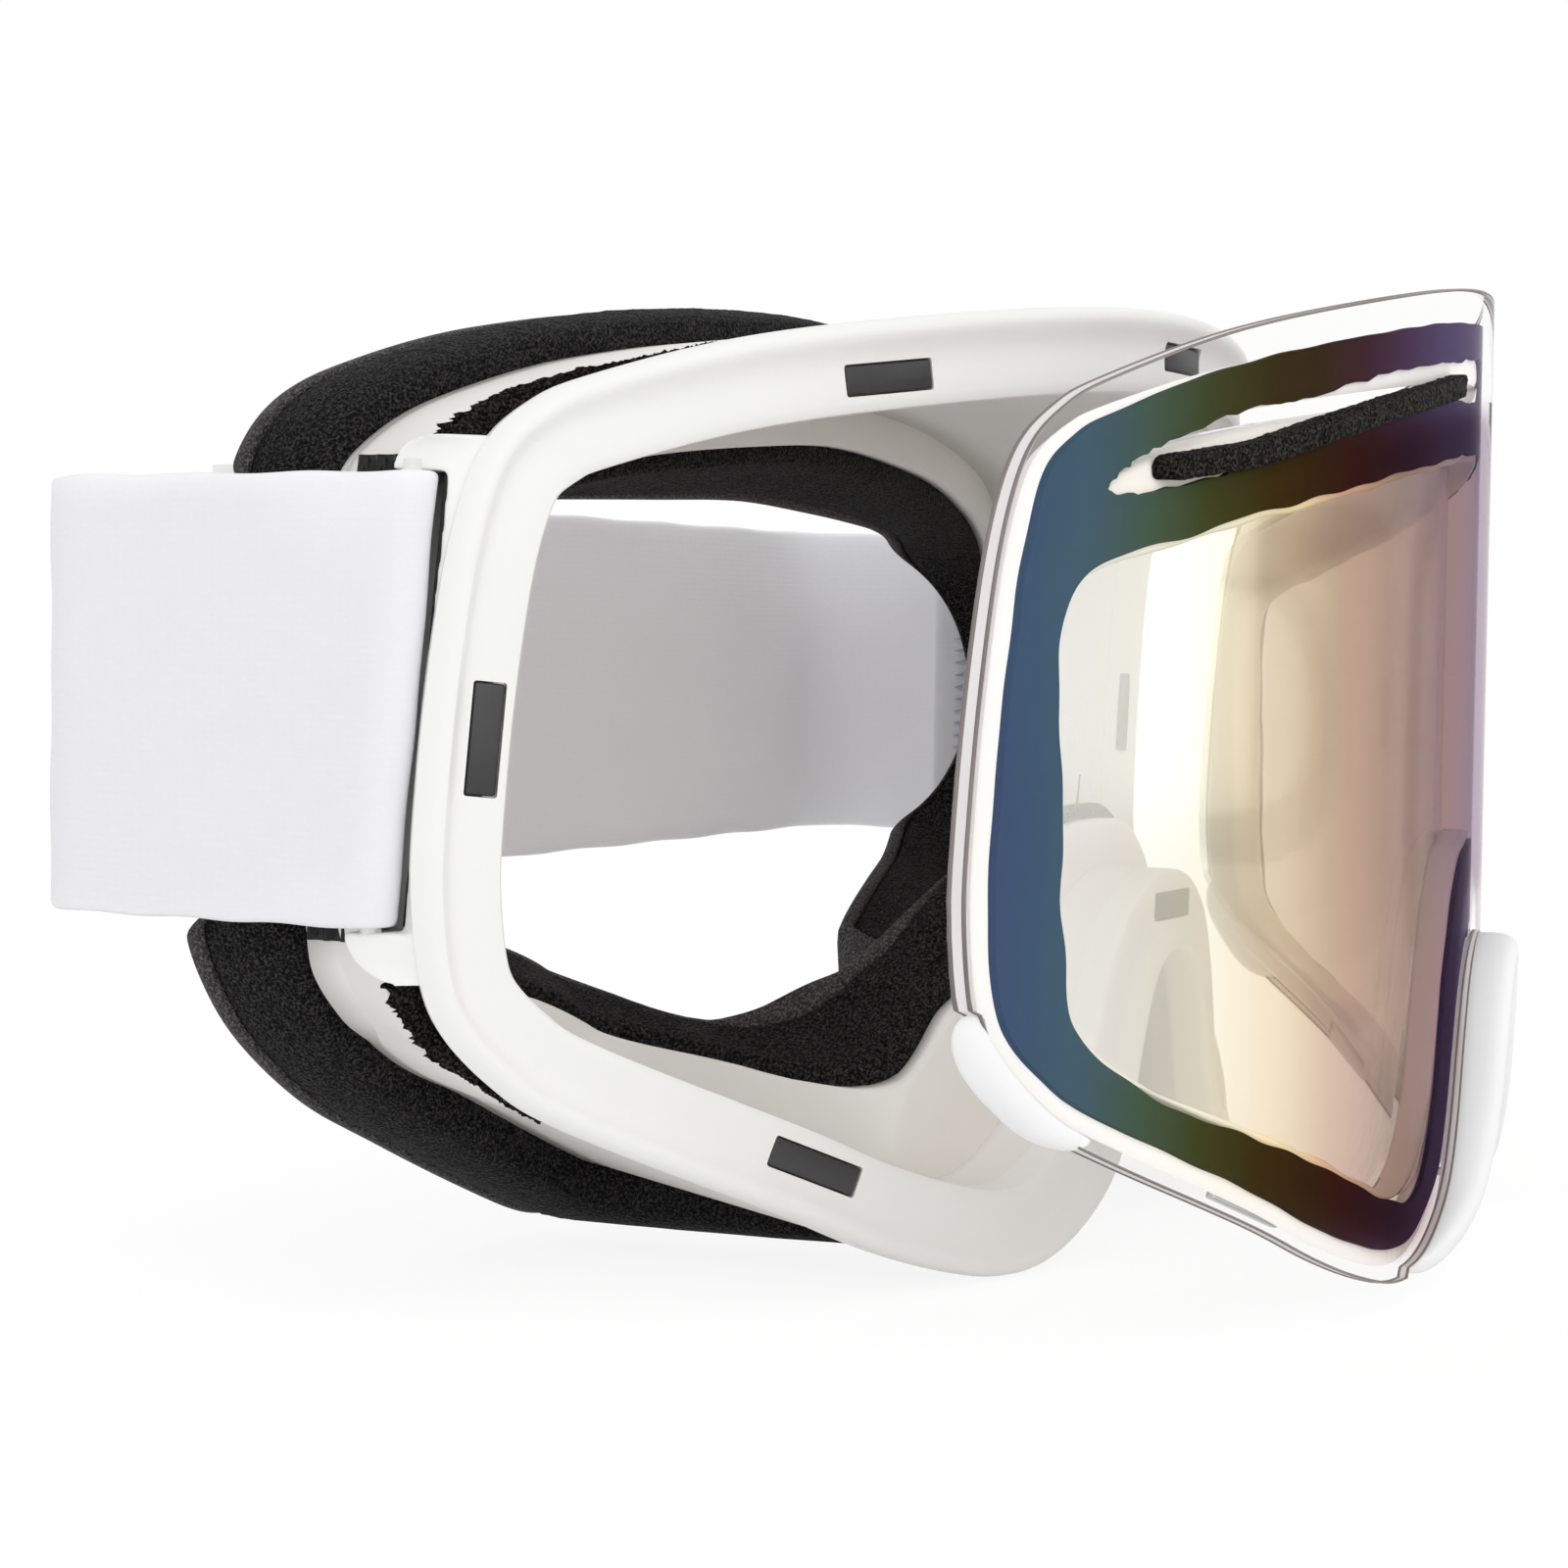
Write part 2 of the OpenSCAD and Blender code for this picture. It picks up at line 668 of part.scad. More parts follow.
module strip_shape(g) {
    line = strip_front();
    half = strip_half + g;
    for (side = [-1, 1]) {
        upright(concat([for (p = line) [side * p[0], p[1] + half]],
            [for (i = [len(line) - 1:-1:0]) [side * line[i][0], line[i][1] - half]]));
        translate([side * line[0][0], behind, line[0][1]]) rotate([90, 0, 0])
            cylinder(r = half, h = behind + ahead, $fn = 36);
    }
}

module outer_lens() {
    color("#b9a7d8") opened() difference() {
        intersection() {
            upright(lens_line(0));
            shell(mask_r1, lens_r1);
        }
        intersection() {
            ring_prism(rim_line(-edge_cut), lens_line(bumper_in));
            edge_zones();
        }
        strip_shape(strip_gap);
    }
}

module lens_mask() {
    color("#20264a") opened() difference() {
        intersection() {
            ring_prism(lens_line(mask_in), fronted(window_flat));
            shell(carrier_r1, mask_r1);
        }
        vent_slots();
    }
}

module lens_carrier() {
    color("#f2f2ee") opened() difference() {
        intersection() {
            ring_prism(lens_line(carrier_in, 0), rim_line(rim_w - seat_lip));
            shell(carrier_r0, carrier_r1);
        }
        magnet_blocks(carrier_r0 - 2, carrier_r0 + keeper_d, pocket_gap);
    }
}

module lens_keepers() {
    color("silver") opened() magnet_blocks(carrier_r0 + 0.05, carrier_r0 + keeper_d, 0);
}

module lens_spacer() {
    color("#181818") opened() intersection() {
        ring_prism(rim_line(spacer_in), fronted(inset(window_flat, spacer_lip)));
        shell(spacer_r0, carrier_r1);
    }
}

module inner_lens() {
    color("#e6dcc0") opened() intersection() {
        upright(rim_line(spacer_in));
        shell(inner_r0, spacer_r0);
    }
}

module lens_vent_foam() {
    color("#0a0a0a") opened() intersection() {
        strip_shape(0);
        shell(carrier_r1, lens_r1 + strip_rise);
    }
}

module grip_tab(side) {
    opened() intersection() {
        ring_prism(rim_line(grip_in), lens_line(bumper_in));
        shell(carrier_r1, lens_r1 + tab_rise);
        corner_zone(side);
    }
}

module grip_tab_left() {
    color("#f6f6f4") grip_tab(1);
}

module grip_tab_right() {
    color("#f6f6f4") grip_tab(-1);
}

module nose_guard() {
    color("#f6f6f4") opened() intersection() {
        ring_prism(rim_line(guard_in), lens_line(bumper_in));
        shell(carrier_r1, lens_r1 + guard_rise);
        nose_zone();
    }
}

front_rim();
face_frame();
outrigger_left();
outrigger_right();
strap_clip_left();
strap_clip_right();
vent_foam_top();
vent_foam_lower_left();
vent_foam_lower_right();
seat_magnets();
foam_base();
foam_middle();
face_fleece();
strap_webbing();
strap_return();
strap_bar_tack();
grip_strips();
slider();
slider_tab();
outer_lens();
lens_mask();
lens_carrier();
lens_spacer();
inner_lens();
lens_keepers();
lens_vent_foam();
grip_tab_left();
grip_tab_right();
nose_guard();
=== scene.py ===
"""Looks of a pair of goggles: soft white frame, black face foam, elastic strap, lifted lens.

The outlines and sizes repeat those of the part, in millimetres. Meshes are in metres.
"""
import math

import bmesh
import bpy
import numpy as np
from mathutils import Matrix, Vector


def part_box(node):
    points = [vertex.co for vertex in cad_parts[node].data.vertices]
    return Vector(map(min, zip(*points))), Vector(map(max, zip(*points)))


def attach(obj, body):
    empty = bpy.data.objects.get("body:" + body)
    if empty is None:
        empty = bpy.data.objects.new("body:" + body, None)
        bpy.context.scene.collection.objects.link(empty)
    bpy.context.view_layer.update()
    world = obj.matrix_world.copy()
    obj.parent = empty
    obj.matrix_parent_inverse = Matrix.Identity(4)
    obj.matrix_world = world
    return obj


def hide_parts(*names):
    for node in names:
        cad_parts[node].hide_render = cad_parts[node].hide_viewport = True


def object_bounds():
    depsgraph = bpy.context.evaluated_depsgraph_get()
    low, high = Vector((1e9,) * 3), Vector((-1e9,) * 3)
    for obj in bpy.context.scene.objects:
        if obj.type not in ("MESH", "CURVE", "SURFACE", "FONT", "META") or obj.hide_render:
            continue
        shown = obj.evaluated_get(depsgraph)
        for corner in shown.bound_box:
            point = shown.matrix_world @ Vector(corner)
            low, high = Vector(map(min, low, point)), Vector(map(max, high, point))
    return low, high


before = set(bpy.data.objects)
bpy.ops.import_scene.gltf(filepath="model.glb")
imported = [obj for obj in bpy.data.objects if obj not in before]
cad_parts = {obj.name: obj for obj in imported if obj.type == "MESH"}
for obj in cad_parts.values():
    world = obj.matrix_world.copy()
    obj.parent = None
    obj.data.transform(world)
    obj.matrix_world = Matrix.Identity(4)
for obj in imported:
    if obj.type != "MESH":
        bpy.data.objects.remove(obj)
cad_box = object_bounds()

MM = 0.001

# Sizes of the part
SEAT_R = 114.0
SEAT_Y = 64.0
RIM_ARC = 104.5
BROW_H = 51.0
CHEEK_H = 54.4
RIM_W = 9.4
RIM_T = 3.6
WALL_T = 1.6
FLANGE_IN = 4.0
FLANGE_T = 2.0
FACE_R = 225.0
FACE_Y = 234.0
FOAM_T = 13.0
NOSE = (18.0, 4.0, 38.0, math.radians(25))
TEMPLE = (40.0, 7.0, 28.0)
STRAP_Z = 7.0
STRAP_W = 44.5
STRAP_T = 1.4
STRAP_BACK = 42.5
BEND_R = 9.0
BAR_LEAN = math.radians(5.8)
BAR = (89.66, -2.27)
FOLD_R = 2.8
OUTER_X = BAR[0] + FOLD_R
RETURN_GAP = 0.3
LENS_IN = 2.3
LENS_SIDE_FIT = 0.98
CREST_H = 4.0
MASK_R = (115.8, 116.3)
LENS_R = (116.3, 117.5)
INNER_R = (112.0, 112.8)
PIVOT = (141.0, -28.0)
OPEN_ANGLE = math.radians(12.5)
MAGNET = (11.0, 3.0, 2.2)

# Outlines as shares of the rim's half arc and heights, from the brow down to the nose
RIM_HALF = [(0, 1), (0.227, 0.978), (0.484, 0.918), (0.68, 0.853), (0.83, 0.769),
            (0.891, 0.714), (0.937, 0.625), (0.965, 0.47), (0.984, 0.235), (0.997, -0.037),
            (1, -0.24), (0.982, -0.432), (0.9215, -0.57), (0.842, -0.66), (0.634, -0.8235),
            (0.535, -0.906), (0.445, -0.965), (0.358, -1), (0.282, -0.991),
            (0.2125, -0.934), (0.153, -0.842), (0.115, -0.708), (0.086, -0.551),
            (0.053, -0.441), (0, -0.404)]
WINDOW_HALF = [(0, 0.637), (0.175, 0.616), (0.389, 0.563), (0.526, 0.518), (0.637, 0.482),
               (0.731, 0.438), (0.8, 0.41), (0.845, 0.363), (0.862, 0.29), (0.864, 0.16),
               (0.858, -0.055), (0.858, -0.19), (0.849, -0.353), (0.837, -0.415),
               (0.807, -0.469), (0.759, -0.522), (0.691, -0.579), (0.566, -0.656),
               (0.443, -0.743), (0.335, -0.812), (0.265, -0.81), (0.225, -0.72),
               (0.195, -0.55), (0.165, -0.35), (0.115, -0.2), (0.055, -0.16), (0, -0.15)]
FOAM_HALF = [(0, 1.03), (0.18, 1.015), (0.348, 0.982), (0.505, 0.932), (0.602, 0.89),
             (0.696, 0.837), (0.766, 0.788), (0.818, 0.731), (0.856, 0.657), (0.88, 0.56),
             (0.908, 0.4), (0.932, 0.15), (0.945, -0.12), (0.942, -0.3), (0.915, -0.42),
             (0.86, -0.54), (0.763, -0.671), (0.658, -0.765), (0.524, -0.879),
             (0.42, -0.955), (0.345, -0.96), (0.275, -0.925), (0.208, -0.87),
             (0.152, -0.8), (0.115, -0.69), (0.086, -0.551), (0.053, -0.441),
             (0, -0.404)]
EYE_HALF = [(0, 0.68), (0.18, 0.66), (0.36, 0.625), (0.5, 0.58), (0.62, 0.535), (0.72, 0.48),
            (0.81, 0.37), (0.85, 0.157), (0.858, -0.075), (0.835, -0.24), (0.74, -0.36),
            (0.579, -0.428), (0.482, -0.496), (0.42, -0.562), (0.39, -0.606), (0.352, -0.56),
            (0.314, -0.474), (0.268, -0.41), (0.21, -0.25), (0.15, -0.15), (0.08, -0.105),
            (0, -0.095)]
EYE_BACK_HALF = [(0, 0.58), (0.18, 0.568), (0.36, 0.555), (0.5, 0.545), (0.62, 0.525),
                 (0.72, 0.47), (0.79, 0.36), (0.825, 0.157), (0.83, -0.06), (0.79, -0.2),
                 (0.66, -0.29), (0.52, -0.345), (0.42, -0.4), (0.36, -0.455), (0.328, -0.53),
                 (0.312, -0.503), (0.296, -0.435), (0.261, -0.372), (0.21, -0.29),
                 (0.153, -0.225), (0.08, -0.18), (0, -0.165)]
SLOT = [(0.812, 0.526), (0.793, 0.566), (0.752, 0.604), (0.64, 0.672), (0.554, 0.694),
        (0.393, 0.755), (0.19, 0.8), (0.04, 0.818), (0.04, 0.738), (0.19, 0.722),
        (0.393, 0.668), (0.554, 0.612), (0.64, 0.568), (0.765, 0.522)]
STRIP = [(0.745, 0.568), (0.64, 0.592), (0.53, 0.642), (0.393, 0.694), (0.2, 0.752)]
MAGNETS = [(0.514, 0.791, -7.3, False), (0.932, 0.066, 4.85, True),
           (0.59, -0.742, 21.9, False)]
MIDDLE_MAGNETS = (0.9, -0.307)
KEEPER_IN = 2.5
SIDES = (("left", 1), ("right", -1))


# Outlines and surfaces
def share(points):
    p = np.array(points, float)
    return np.stack([p[:, 0] * RIM_ARC, p[:, 1] * np.where(p[:, 1] > 0, BROW_H, CHEEK_H)], 1)


def closed(half):
    p = share(half)
    return np.concatenate([p, p[-2:0:-1] * [-1, 1]])


def spline(p, k):
    """Closed smooth curve through the points, with k steps from one to the next."""
    a, b, c, d = np.roll(p, 1, 0), p, np.roll(p, -1, 0), np.roll(p, -2, 0)
    t = (np.arange(k) / k)[:, None, None]
    out = 0.5 * (2 * b + (c - a) * t + (2 * a - 5 * b + 4 * c - d) * t ** 2
                 + (3 * b - a - 3 * c + d) * t ** 3)
    return out.transpose(1, 0, 2).reshape(-1, p.shape[1])


def inset(p, d):
    t = np.roll(p, -1, 0) - np.roll(p, 1, 0)
    n = np.stack([t[:, 1], -t[:, 0]], 1) / np.linalg.norm(t, axis=1)[:, None]
    return p + n * np.reshape(d, (-1, 1))


def lifted(p, rise=CREST_H):
    grow = rise * np.maximum(p[:, 1], 0) / BROW_H * (1 - (p[:, 0] / RIM_ARC) ** 2)
    return np.stack([p[:, 0], p[:, 1] + grow], 1)


def spaced(p, places):
    """Points on an open line, at the distances that places gives for its length."""
    run = np.concatenate([[0], np.cumsum(np.linalg.norm(np.diff(p, axis=0), axis=1))])
    at = places(run[-1])
    return np.stack([np.interp(at, run, p[:, k]) for k in range(p.shape[1])], 1)


def even(p, n):
    """The closed line again, with n points at even steps from its first one."""
    return spaced(np.concatenate([p, p[:1]]), lambda far: np.linspace(0, far, n, endpoint=False))


def eased(line, rounds):
    for _ in range(rounds):
        line[1:-1] = (line[:-2] + 2 * line[1:-1] + line[2:]) / 4
    return line


RIM_FLAT = spline(closed(RIM_HALF), 3)
FOAM_FLAT = spline(closed(FOAM_HALF), 3)
EYE_FLAT = spline(closed(EYE_HALF), 3)
EYE_BACK_FLAT = spline(closed(EYE_BACK_HALF), 3)
WINDOW_FLAT = lifted(spline(closed(WINDOW_HALF), 3))


def rim_line(d):
    return spline(inset(RIM_FLAT, d), 4)


def lens_line(d, rise=CREST_H, fit=LENS_SIDE_FIT):
    return spline(lifted(inset(RIM_FLAT, LENS_IN + d) * [fit, 1], rise), 4)


def front_x(s):
    return SEAT_R * np.sin(s / SEAT_R)


def on_drum(flat, r):
    x = front_x(flat[:, 0])
    return np.stack([x, SEAT_Y - np.sqrt(np.maximum(r ** 2 - x ** 2, 0)), flat[:, 1]], 1)


def radial(flat, r):
    """The flat outline wrapped round the drum, shrinking with its radius."""
    a = flat[:, 0] / SEAT_R
    return np.stack([r * np.sin(a), SEAT_Y - r * np.cos(a), flat[:, 1]], 1)


def ramp(x):
    x = np.clip(x, 0, 1)
    return x * x * (3 - 2 * x)


def soft_min(a, b, k):
    h = np.maximum(k - np.abs(a - b), 0) / k
    return np.minimum(a, b) - h * h * k / 4


NOSE_GROWTH = 0.7
NOSE_BLEND = 9.0
NOSE_FADE = 8.0
TEMPLE_GROWTH = 0.25
TEMPLE_BLEND = 2.0


def face_front(x, z, d):
    """How far forward the face reaches at x, z, grown forward by d."""
    y = FACE_Y - np.sqrt((FACE_R + d) ** 2 - x ** 2)
    nose_y, nose_z, nose_r, tilt = NOSE
    r = nose_r + NOSE_GROWTH * d
    w = np.sqrt(np.maximum(r ** 2 - x ** 2, 0))
    nose = nose_y + ((z - nose_z) * math.sin(tilt) - w) / math.cos(tilt)
    near = ramp((r - np.abs(x)) / NOSE_BLEND) * ramp((NOSE_FADE - z) / NOSE_FADE)
    y = y + np.minimum(nose - y, 0) * near
    temple_y, temple_z, temple_r = TEMPLE
    r = temple_r + TEMPLE_GROWTH * d
    hollow = temple_y - np.sqrt(np.maximum(r ** 2 - (z - temple_z) ** 2, 0))
    return soft_min(y, hollow, TEMPLE_BLEND)


def mixed(a, b, t):
    return a * (1 - t) + b * t


def between(a, b, steps):
    return [mixed(a, b, t) for t in steps]


# Mesh building
def edited(mesh, change):
    work = bmesh.new()
    work.from_mesh(mesh)
    change(work)
    work.to_mesh(mesh)
    work.free()


def linked(name, data):
    obj = bpy.data.objects.new(name, data)
    bpy.context.scene.collection.objects.link(obj)
    return obj


def new_object(name, verts, faces, smooth=True):
    mesh = bpy.data.meshes.new(name)
    mesh.from_pydata([tuple(v) for v in np.asarray(verts) * MM], [], faces)
    mesh.validate()
    obj = linked(name, mesh)
    edited(mesh, lambda work: bmesh.ops.recalc_face_normals(work, faces=work.faces))
    if smooth:
        mesh.shade_smooth()
    return obj


def skin(m, n, rows):
    """The faces of so many rows between m closed loops of n points."""
    return [(i * n + j, i * n + (j + 1) % n, (i + 1) % m * n + (j + 1) % n, (i + 1) % m * n + j)
            for i in range(rows) for j in range(n)]


def ring(name, loops):
    """A closed band whose section runs through the loops and back to the first one."""
    return new_object(name, np.concatenate(loops), skin(len(loops), len(loops[0]), len(loops)))


def bar(name, sections):
    """A solid that runs through equal closed sections, with flat ends."""
    m, n = len(sections), len(sections[0])
    ends = [tuple(range(n))[::-1], tuple((m - 1) * n + j for j in range(n))]
    return new_object(name, np.concatenate(sections), skin(m, n, m - 1) + ends)


def stretch(keep):
    """The run of true values in a closed list, as places in it."""
    n = len(keep)
    start = next(j for j in range(n) if keep[j] and not keep[j - 1])
    count = next(k for k in range(n) if not keep[(start + k) % n])
    return [(start + k) % n for k in range(count)]


def arc_of(loops, keep):
    """The stretch of some closed loops where keep is true, as sections along it."""
    return [np.array([loop[at] for loop in loops]) for at in stretch(keep)]


def with_modifier(obj, kind, **settings):
    mod = obj.modifiers.new(kind.lower(), kind)
    for key, value in settings.items():
        setattr(mod, key, value)
    evaluated = obj.evaluated_get(bpy.context.evaluated_depsgraph_get())
    mesh = bpy.data.meshes.new_from_object(evaluated)
    old = obj.data
    obj.modifiers.clear()
    obj.data = mesh
    bpy.data.meshes.remove(old)
    return obj


def moved(obj, matrix):
    obj.data.transform(matrix)
    return obj


def cut(obj, tool):
    with_modifier(obj, "BOOLEAN", operation="DIFFERENCE", solver="EXACT", object=tool)
    bpy.data.objects.remove(tool)
    sharp_smooth(obj)
    return obj


def sharp_smooth(obj, degrees=35):
    def mark(work):
        for edge in work.edges:
            if len(edge.link_faces) == 2 and edge.calc_face_angle(0) > math.radians(degrees):
                edge.smooth = False

    obj.data.shade_smooth()
    edited(obj.data, mark)


def joined(name, objs):
    for other in objs[1:]:
        edited(objs[0].data, lambda work: work.from_mesh(other.data))
        bpy.data.objects.remove(other)
    objs[0].name = objs[0].data.name = name
    return objs[0]


def block(name, size, round_by, steps=3):
    """A box about the origin with rounded edges."""
    work = bmesh.new()
    bmesh.ops.create_cube(work, size=1)
    bmesh.ops.scale(work, vec=size, verts=work.verts)
    bmesh.ops.bevel(work, geom=work.edges[:], offset=round_by, segments=steps,
                    affect="EDGES", profile=0.5)
    mesh = bpy.data.meshes.new(name)
    bmesh.ops.scale(work, vec=(MM, MM, MM), verts=work.verts)
    work.to_mesh(mesh)
    work.free()
    mesh.shade_smooth()
    return linked(name, mesh)


def molded(name, node, rounds):
    """A node's solid with its edges rounded, as a moulded piece has them."""
    obj = linked(name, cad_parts[node].data.copy())
    obj.data.materials.clear()
    edited(obj.data, lambda work: bmesh.ops.remove_doubles(work, verts=work.verts, dist=1e-6))
    with_modifier(obj, "REMESH", mode="VOXEL", voxel_size=0.25 * MM)
    with_modifier(obj, "SMOOTH", factor=0.5, iterations=rounds)
    obj.data.shade_smooth()
    return obj


def jitter(obj, amount, seed):
    """Moves each vertex a little along its normal, for the surface of foam."""
    mesh = obj.data
    count = len(mesh.vertices)
    co = np.empty(count * 3, np.float32)
    mesh.vertices.foreach_get("co", co)
    no = np.array([v.normal[:] for v in mesh.vertices], np.float32)
    step = np.random.default_rng(seed).normal(0, amount * MM, (count, 1)).astype(np.float32)
    mesh.vertices.foreach_set("co", (co.reshape(-1, 3) + no * step).ravel())
    mesh.update()


# Materials
class Nodes:
    """Lays out the nodes of a material or a world."""

    def __init__(self, name, kind="Material"):
        store = bpy.data.worlds if kind == "World" else bpy.data.materials
        self.owner = store.new(name)
        self.owner.use_nodes = True
        self.tree = self.owner.node_tree
        self.tree.nodes.clear()
        self.out = self.add("Output" + kind)

    def add(self, kind, inputs=None, **settings):
        node = self.tree.nodes.new("ShaderNode" + kind)
        for key, value in settings.items():
            setattr(node, key, value)
        for key, value in (inputs or {}).items():
            socket = node.inputs[key]
            if isinstance(value, bpy.types.NodeSocket):
                self.tree.links.new(value, socket)
            elif isinstance(value, bpy.types.Node):
                self.tree.links.new(value.outputs[0], socket)
            else:
                socket.default_value = value
        return node

    def coords(self):
        return self.add("TexCoord").outputs["Object"]

    def noise(self, scale, detail, rough=0.5):
        return self.add("TexNoise", {"Vector": self.coords(), "Scale": scale, "Detail": detail,
                                     "Roughness": rough}).outputs["Fac"]

    def ramp(self, source, stops):
        node = self.add("ValToRGB", {"Fac": source})
        table = node.color_ramp.elements
        for at, _ in stops[2:]:
            table.new(at)
        for element, (at, colour) in zip(table, sorted(stops)):
            element.position = at
            element.color = (*colour, 1) if len(colour) == 3 else colour
        return node.outputs[0]

    def math(self, operation, a, b=0.0):
        return self.add("Math", {0: a, 1: b}, operation=operation).outputs[0]

    def surface(self, shader):
        self.tree.links.new(shader.outputs[0], self.out.inputs["Surface"])
        return self.owner

    def seen(self):
        """1 for a ray from the camera, also past gloss and glass, and 0 for a ray of light."""
        path = self.add("LightPath").outputs
        behind = self.math("MAXIMUM", path["Is Glossy Ray"], path["Is Transmission Ray"])
        return self.math("MAXIMUM", path["Is Camera Ray"], behind)


def grained(name, colour, other, rough, grain=(900, 0.04), **gloss):
    """A solid material with slow colour drift and a fine surface grain."""
    n = Nodes(name)
    tone = n.ramp(n.noise(60.0, 3.0), [(0.3, colour), (0.7, other)])
    fine = n.noise(grain[0], 2.0)
    bump = n.add("Bump", {"Strength": grain[1], "Distance": 0.0002, "Height": fine})
    inputs = {"Base Color": tone, "Roughness": rough, "Normal": bump}
    inputs.update(gloss)
    return n.surface(n.add("BsdfPrincipled", inputs))


def foamy(name, dark, light, cell, depth, gloss):
    """Open-cell foam: pale specks on dark, over a bump of pits."""
    n = Nodes(name)
    cells = n.add("TexVoronoi", {"Vector": n.coords(), "Scale": cell, "Randomness": 1.0})
    fine = n.noise(cell * 1.6, 2.0, 0.6)
    height = n.math("ADD", cells.outputs["Distance"], n.math("MULTIPLY", fine, 0.6))
    tone = n.ramp(fine, [(0.44, dark), (0.66, light)])
    bump = n.add("Bump", {"Strength": 0.9, "Distance": depth, "Height": height})
    return n.surface(n.add("BsdfPrincipled", {
        "Base Color": tone, "Roughness": 0.7, "Normal": bump, "Specular IOR Level": gloss}))


WEAVE_ROW = 0.00072
WEAVE_PICK = 0.0011
SEAM_Z = (STRAP_Z - STRAP_W / 2 + 1.3) * MM
SEAM_HALF = 0.00045
SEAM_STITCH = 0.0018


def woven(name, colour, shade):
    """Elastic webbing: fine lines along the strap, finer ones across, a stitched lower edge."""
    n = Nodes(name)
    split = n.add("SeparateXYZ", {"Vector": n.coords()})
    z = split.outputs["Z"]
    flow = n.math("ADD", split.outputs["X"], split.outputs["Y"])

    def waves(source, pitch):
        return n.math("SINE", n.math("MULTIPLY", source, 2 * math.pi / pitch))

    picks = n.math("MULTIPLY", waves(flow, WEAVE_PICK), 0.5)
    weave = n.math("MULTIPLY", n.math("ADD", waves(z, WEAVE_ROW), picks), 0.1)
    seam = n.math("LESS_THAN", n.math("ABSOLUTE", n.math("SUBTRACT", z, SEAM_Z)), SEAM_HALF)
    dash = n.math("GREATER_THAN", waves(flow, SEAM_STITCH), 0.1)
    stitch = n.math("MULTIPLY", seam, dash)
    fuzz = n.math("MULTIPLY", n.noise(1400.0, 4.0), 0.9)
    height = n.math("ADD", n.math("ADD", weave, fuzz), n.math("MULTIPLY", stitch, 0.8))
    tone = n.ramp(n.math("ADD", n.math("MULTIPLY", weave, 0.5), n.noise(45.0, 2.0)),
                  [(0.25, shade), (0.75, colour)])
    bump = n.add("Bump", {"Strength": 0.5, "Distance": 0.00015, "Height": height})
    return n.surface(n.add("BsdfPrincipled", {
        "Base Color": tone, "Roughness": 0.9, "Normal": bump, "Specular IOR Level": 0.2,
        "Subsurface Weight": 0.7, "Subsurface Radius": (1, 1, 1), "Subsurface Scale": 0.0025}))


LENS_HALF_WIDTH = 0.092


def along_lens(n):
    """Distance from the lens's middle, 0 there to 1 at its side."""
    turned = n.add("VectorRotate", {
        "Vector": n.coords(), "Center": (PIVOT[0] * MM, PIVOT[1] * MM, 0),
        "Axis": (0, 0, 1), "Angle": -OPEN_ANGLE})
    x = n.add("SeparateXYZ", {"Vector": turned}).outputs["X"]
    return n.math("DIVIDE", n.math("ABSOLUTE", x), LENS_HALF_WIDTH)


def shaded_glass(name, stops, rough, tint_shadow, margin, veil=0.0):
    """See-through sheet, tinted where the window value is 1, of the margin's colour at 0."""
    n = Nodes(name)
    window = n.add("Attribute", attribute_name="window").outputs["Fac"]
    tone = n.add("Mix", {0: window, 6: (*margin, 1), 7: n.ramp(along_lens(n), stops)},
                 data_type="RGBA").outputs[2]
    glass = n.add("BsdfPrincipled", {"Base Color": tone, "Roughness": rough, "IOR": 1.01,
                                     "Transmission Weight": 1.0, "Metallic": veil})
    clear = n.add("BsdfTransparent", {"Color": tint_shadow})
    path = n.add("LightPath")
    return n.surface(n.add("MixShader", {0: path.outputs["Is Shadow Ray"], 1: glass, 2: clear}))


def banded(name, stops, rough):
    """Dark band under the mirror coat, whose colour drifts along the lens: painted iridescent
    reflection, the coat's colours that shift with the view, set by place.
    """
    n = Nodes(name)
    drift = n.math("MULTIPLY", n.math("SUBTRACT", n.noise(40.0, 2.0), 0.5), 0.05)
    tone = n.ramp(n.math("ADD", along_lens(n), drift), stops)
    return n.surface(n.add("BsdfPrincipled", {"Base Color": tone, "Roughness": rough,
                                              "Specular IOR Level": 0.04}))


WHITE = grained("soft_white", (0.9, 0.9, 0.89), (0.885, 0.885, 0.872), 0.42)
WARM_WHITE = grained("inner_white", (0.87, 0.86, 0.835), (0.84, 0.825, 0.795), 0.5)
CREAM = grained("cream", (0.89, 0.87, 0.82), (0.86, 0.83, 0.77), 0.6)
CARRIER_WHITE = grained("carrier_white", (0.96, 0.945, 0.93), (0.94, 0.925, 0.905), 0.4)
RUBBER = grained("white_rubber", (0.92, 0.92, 0.92), (0.9, 0.9, 0.905), 0.45,
                 **{"Subsurface Weight": 0.3, "Subsurface Radius": (1, 1, 1),
                    "Subsurface Scale": 0.003})
BLACK_CLIP = grained("black_clip", (0.006, 0.006, 0.007), (0.012, 0.012, 0.012), 0.22,
                    **{"Specular IOR Level": 0.2})
MAGNET_DARK = grained("dark_magnet", (0.045, 0.043, 0.045), (0.07, 0.068, 0.07), 0.42,
                      grain=(2500, 0.12), Metallic=0.55)
STEEL = grained("keeper_steel", (0.5, 0.5, 0.5), (0.6, 0.6, 0.6), 0.35, Metallic=1.0)
SILICONE = grained("silicone", (0.62, 0.62, 0.65), (0.66, 0.66, 0.69), 0.3)
THREAD = grained("thread", (0.72, 0.72, 0.77), (0.66, 0.66, 0.71), 0.8)
PAD_FOAM = foamy("pad_foam", (0.003, 0.003, 0.003), (0.055, 0.051, 0.051), 2000.0, 0.0006, 0.08)
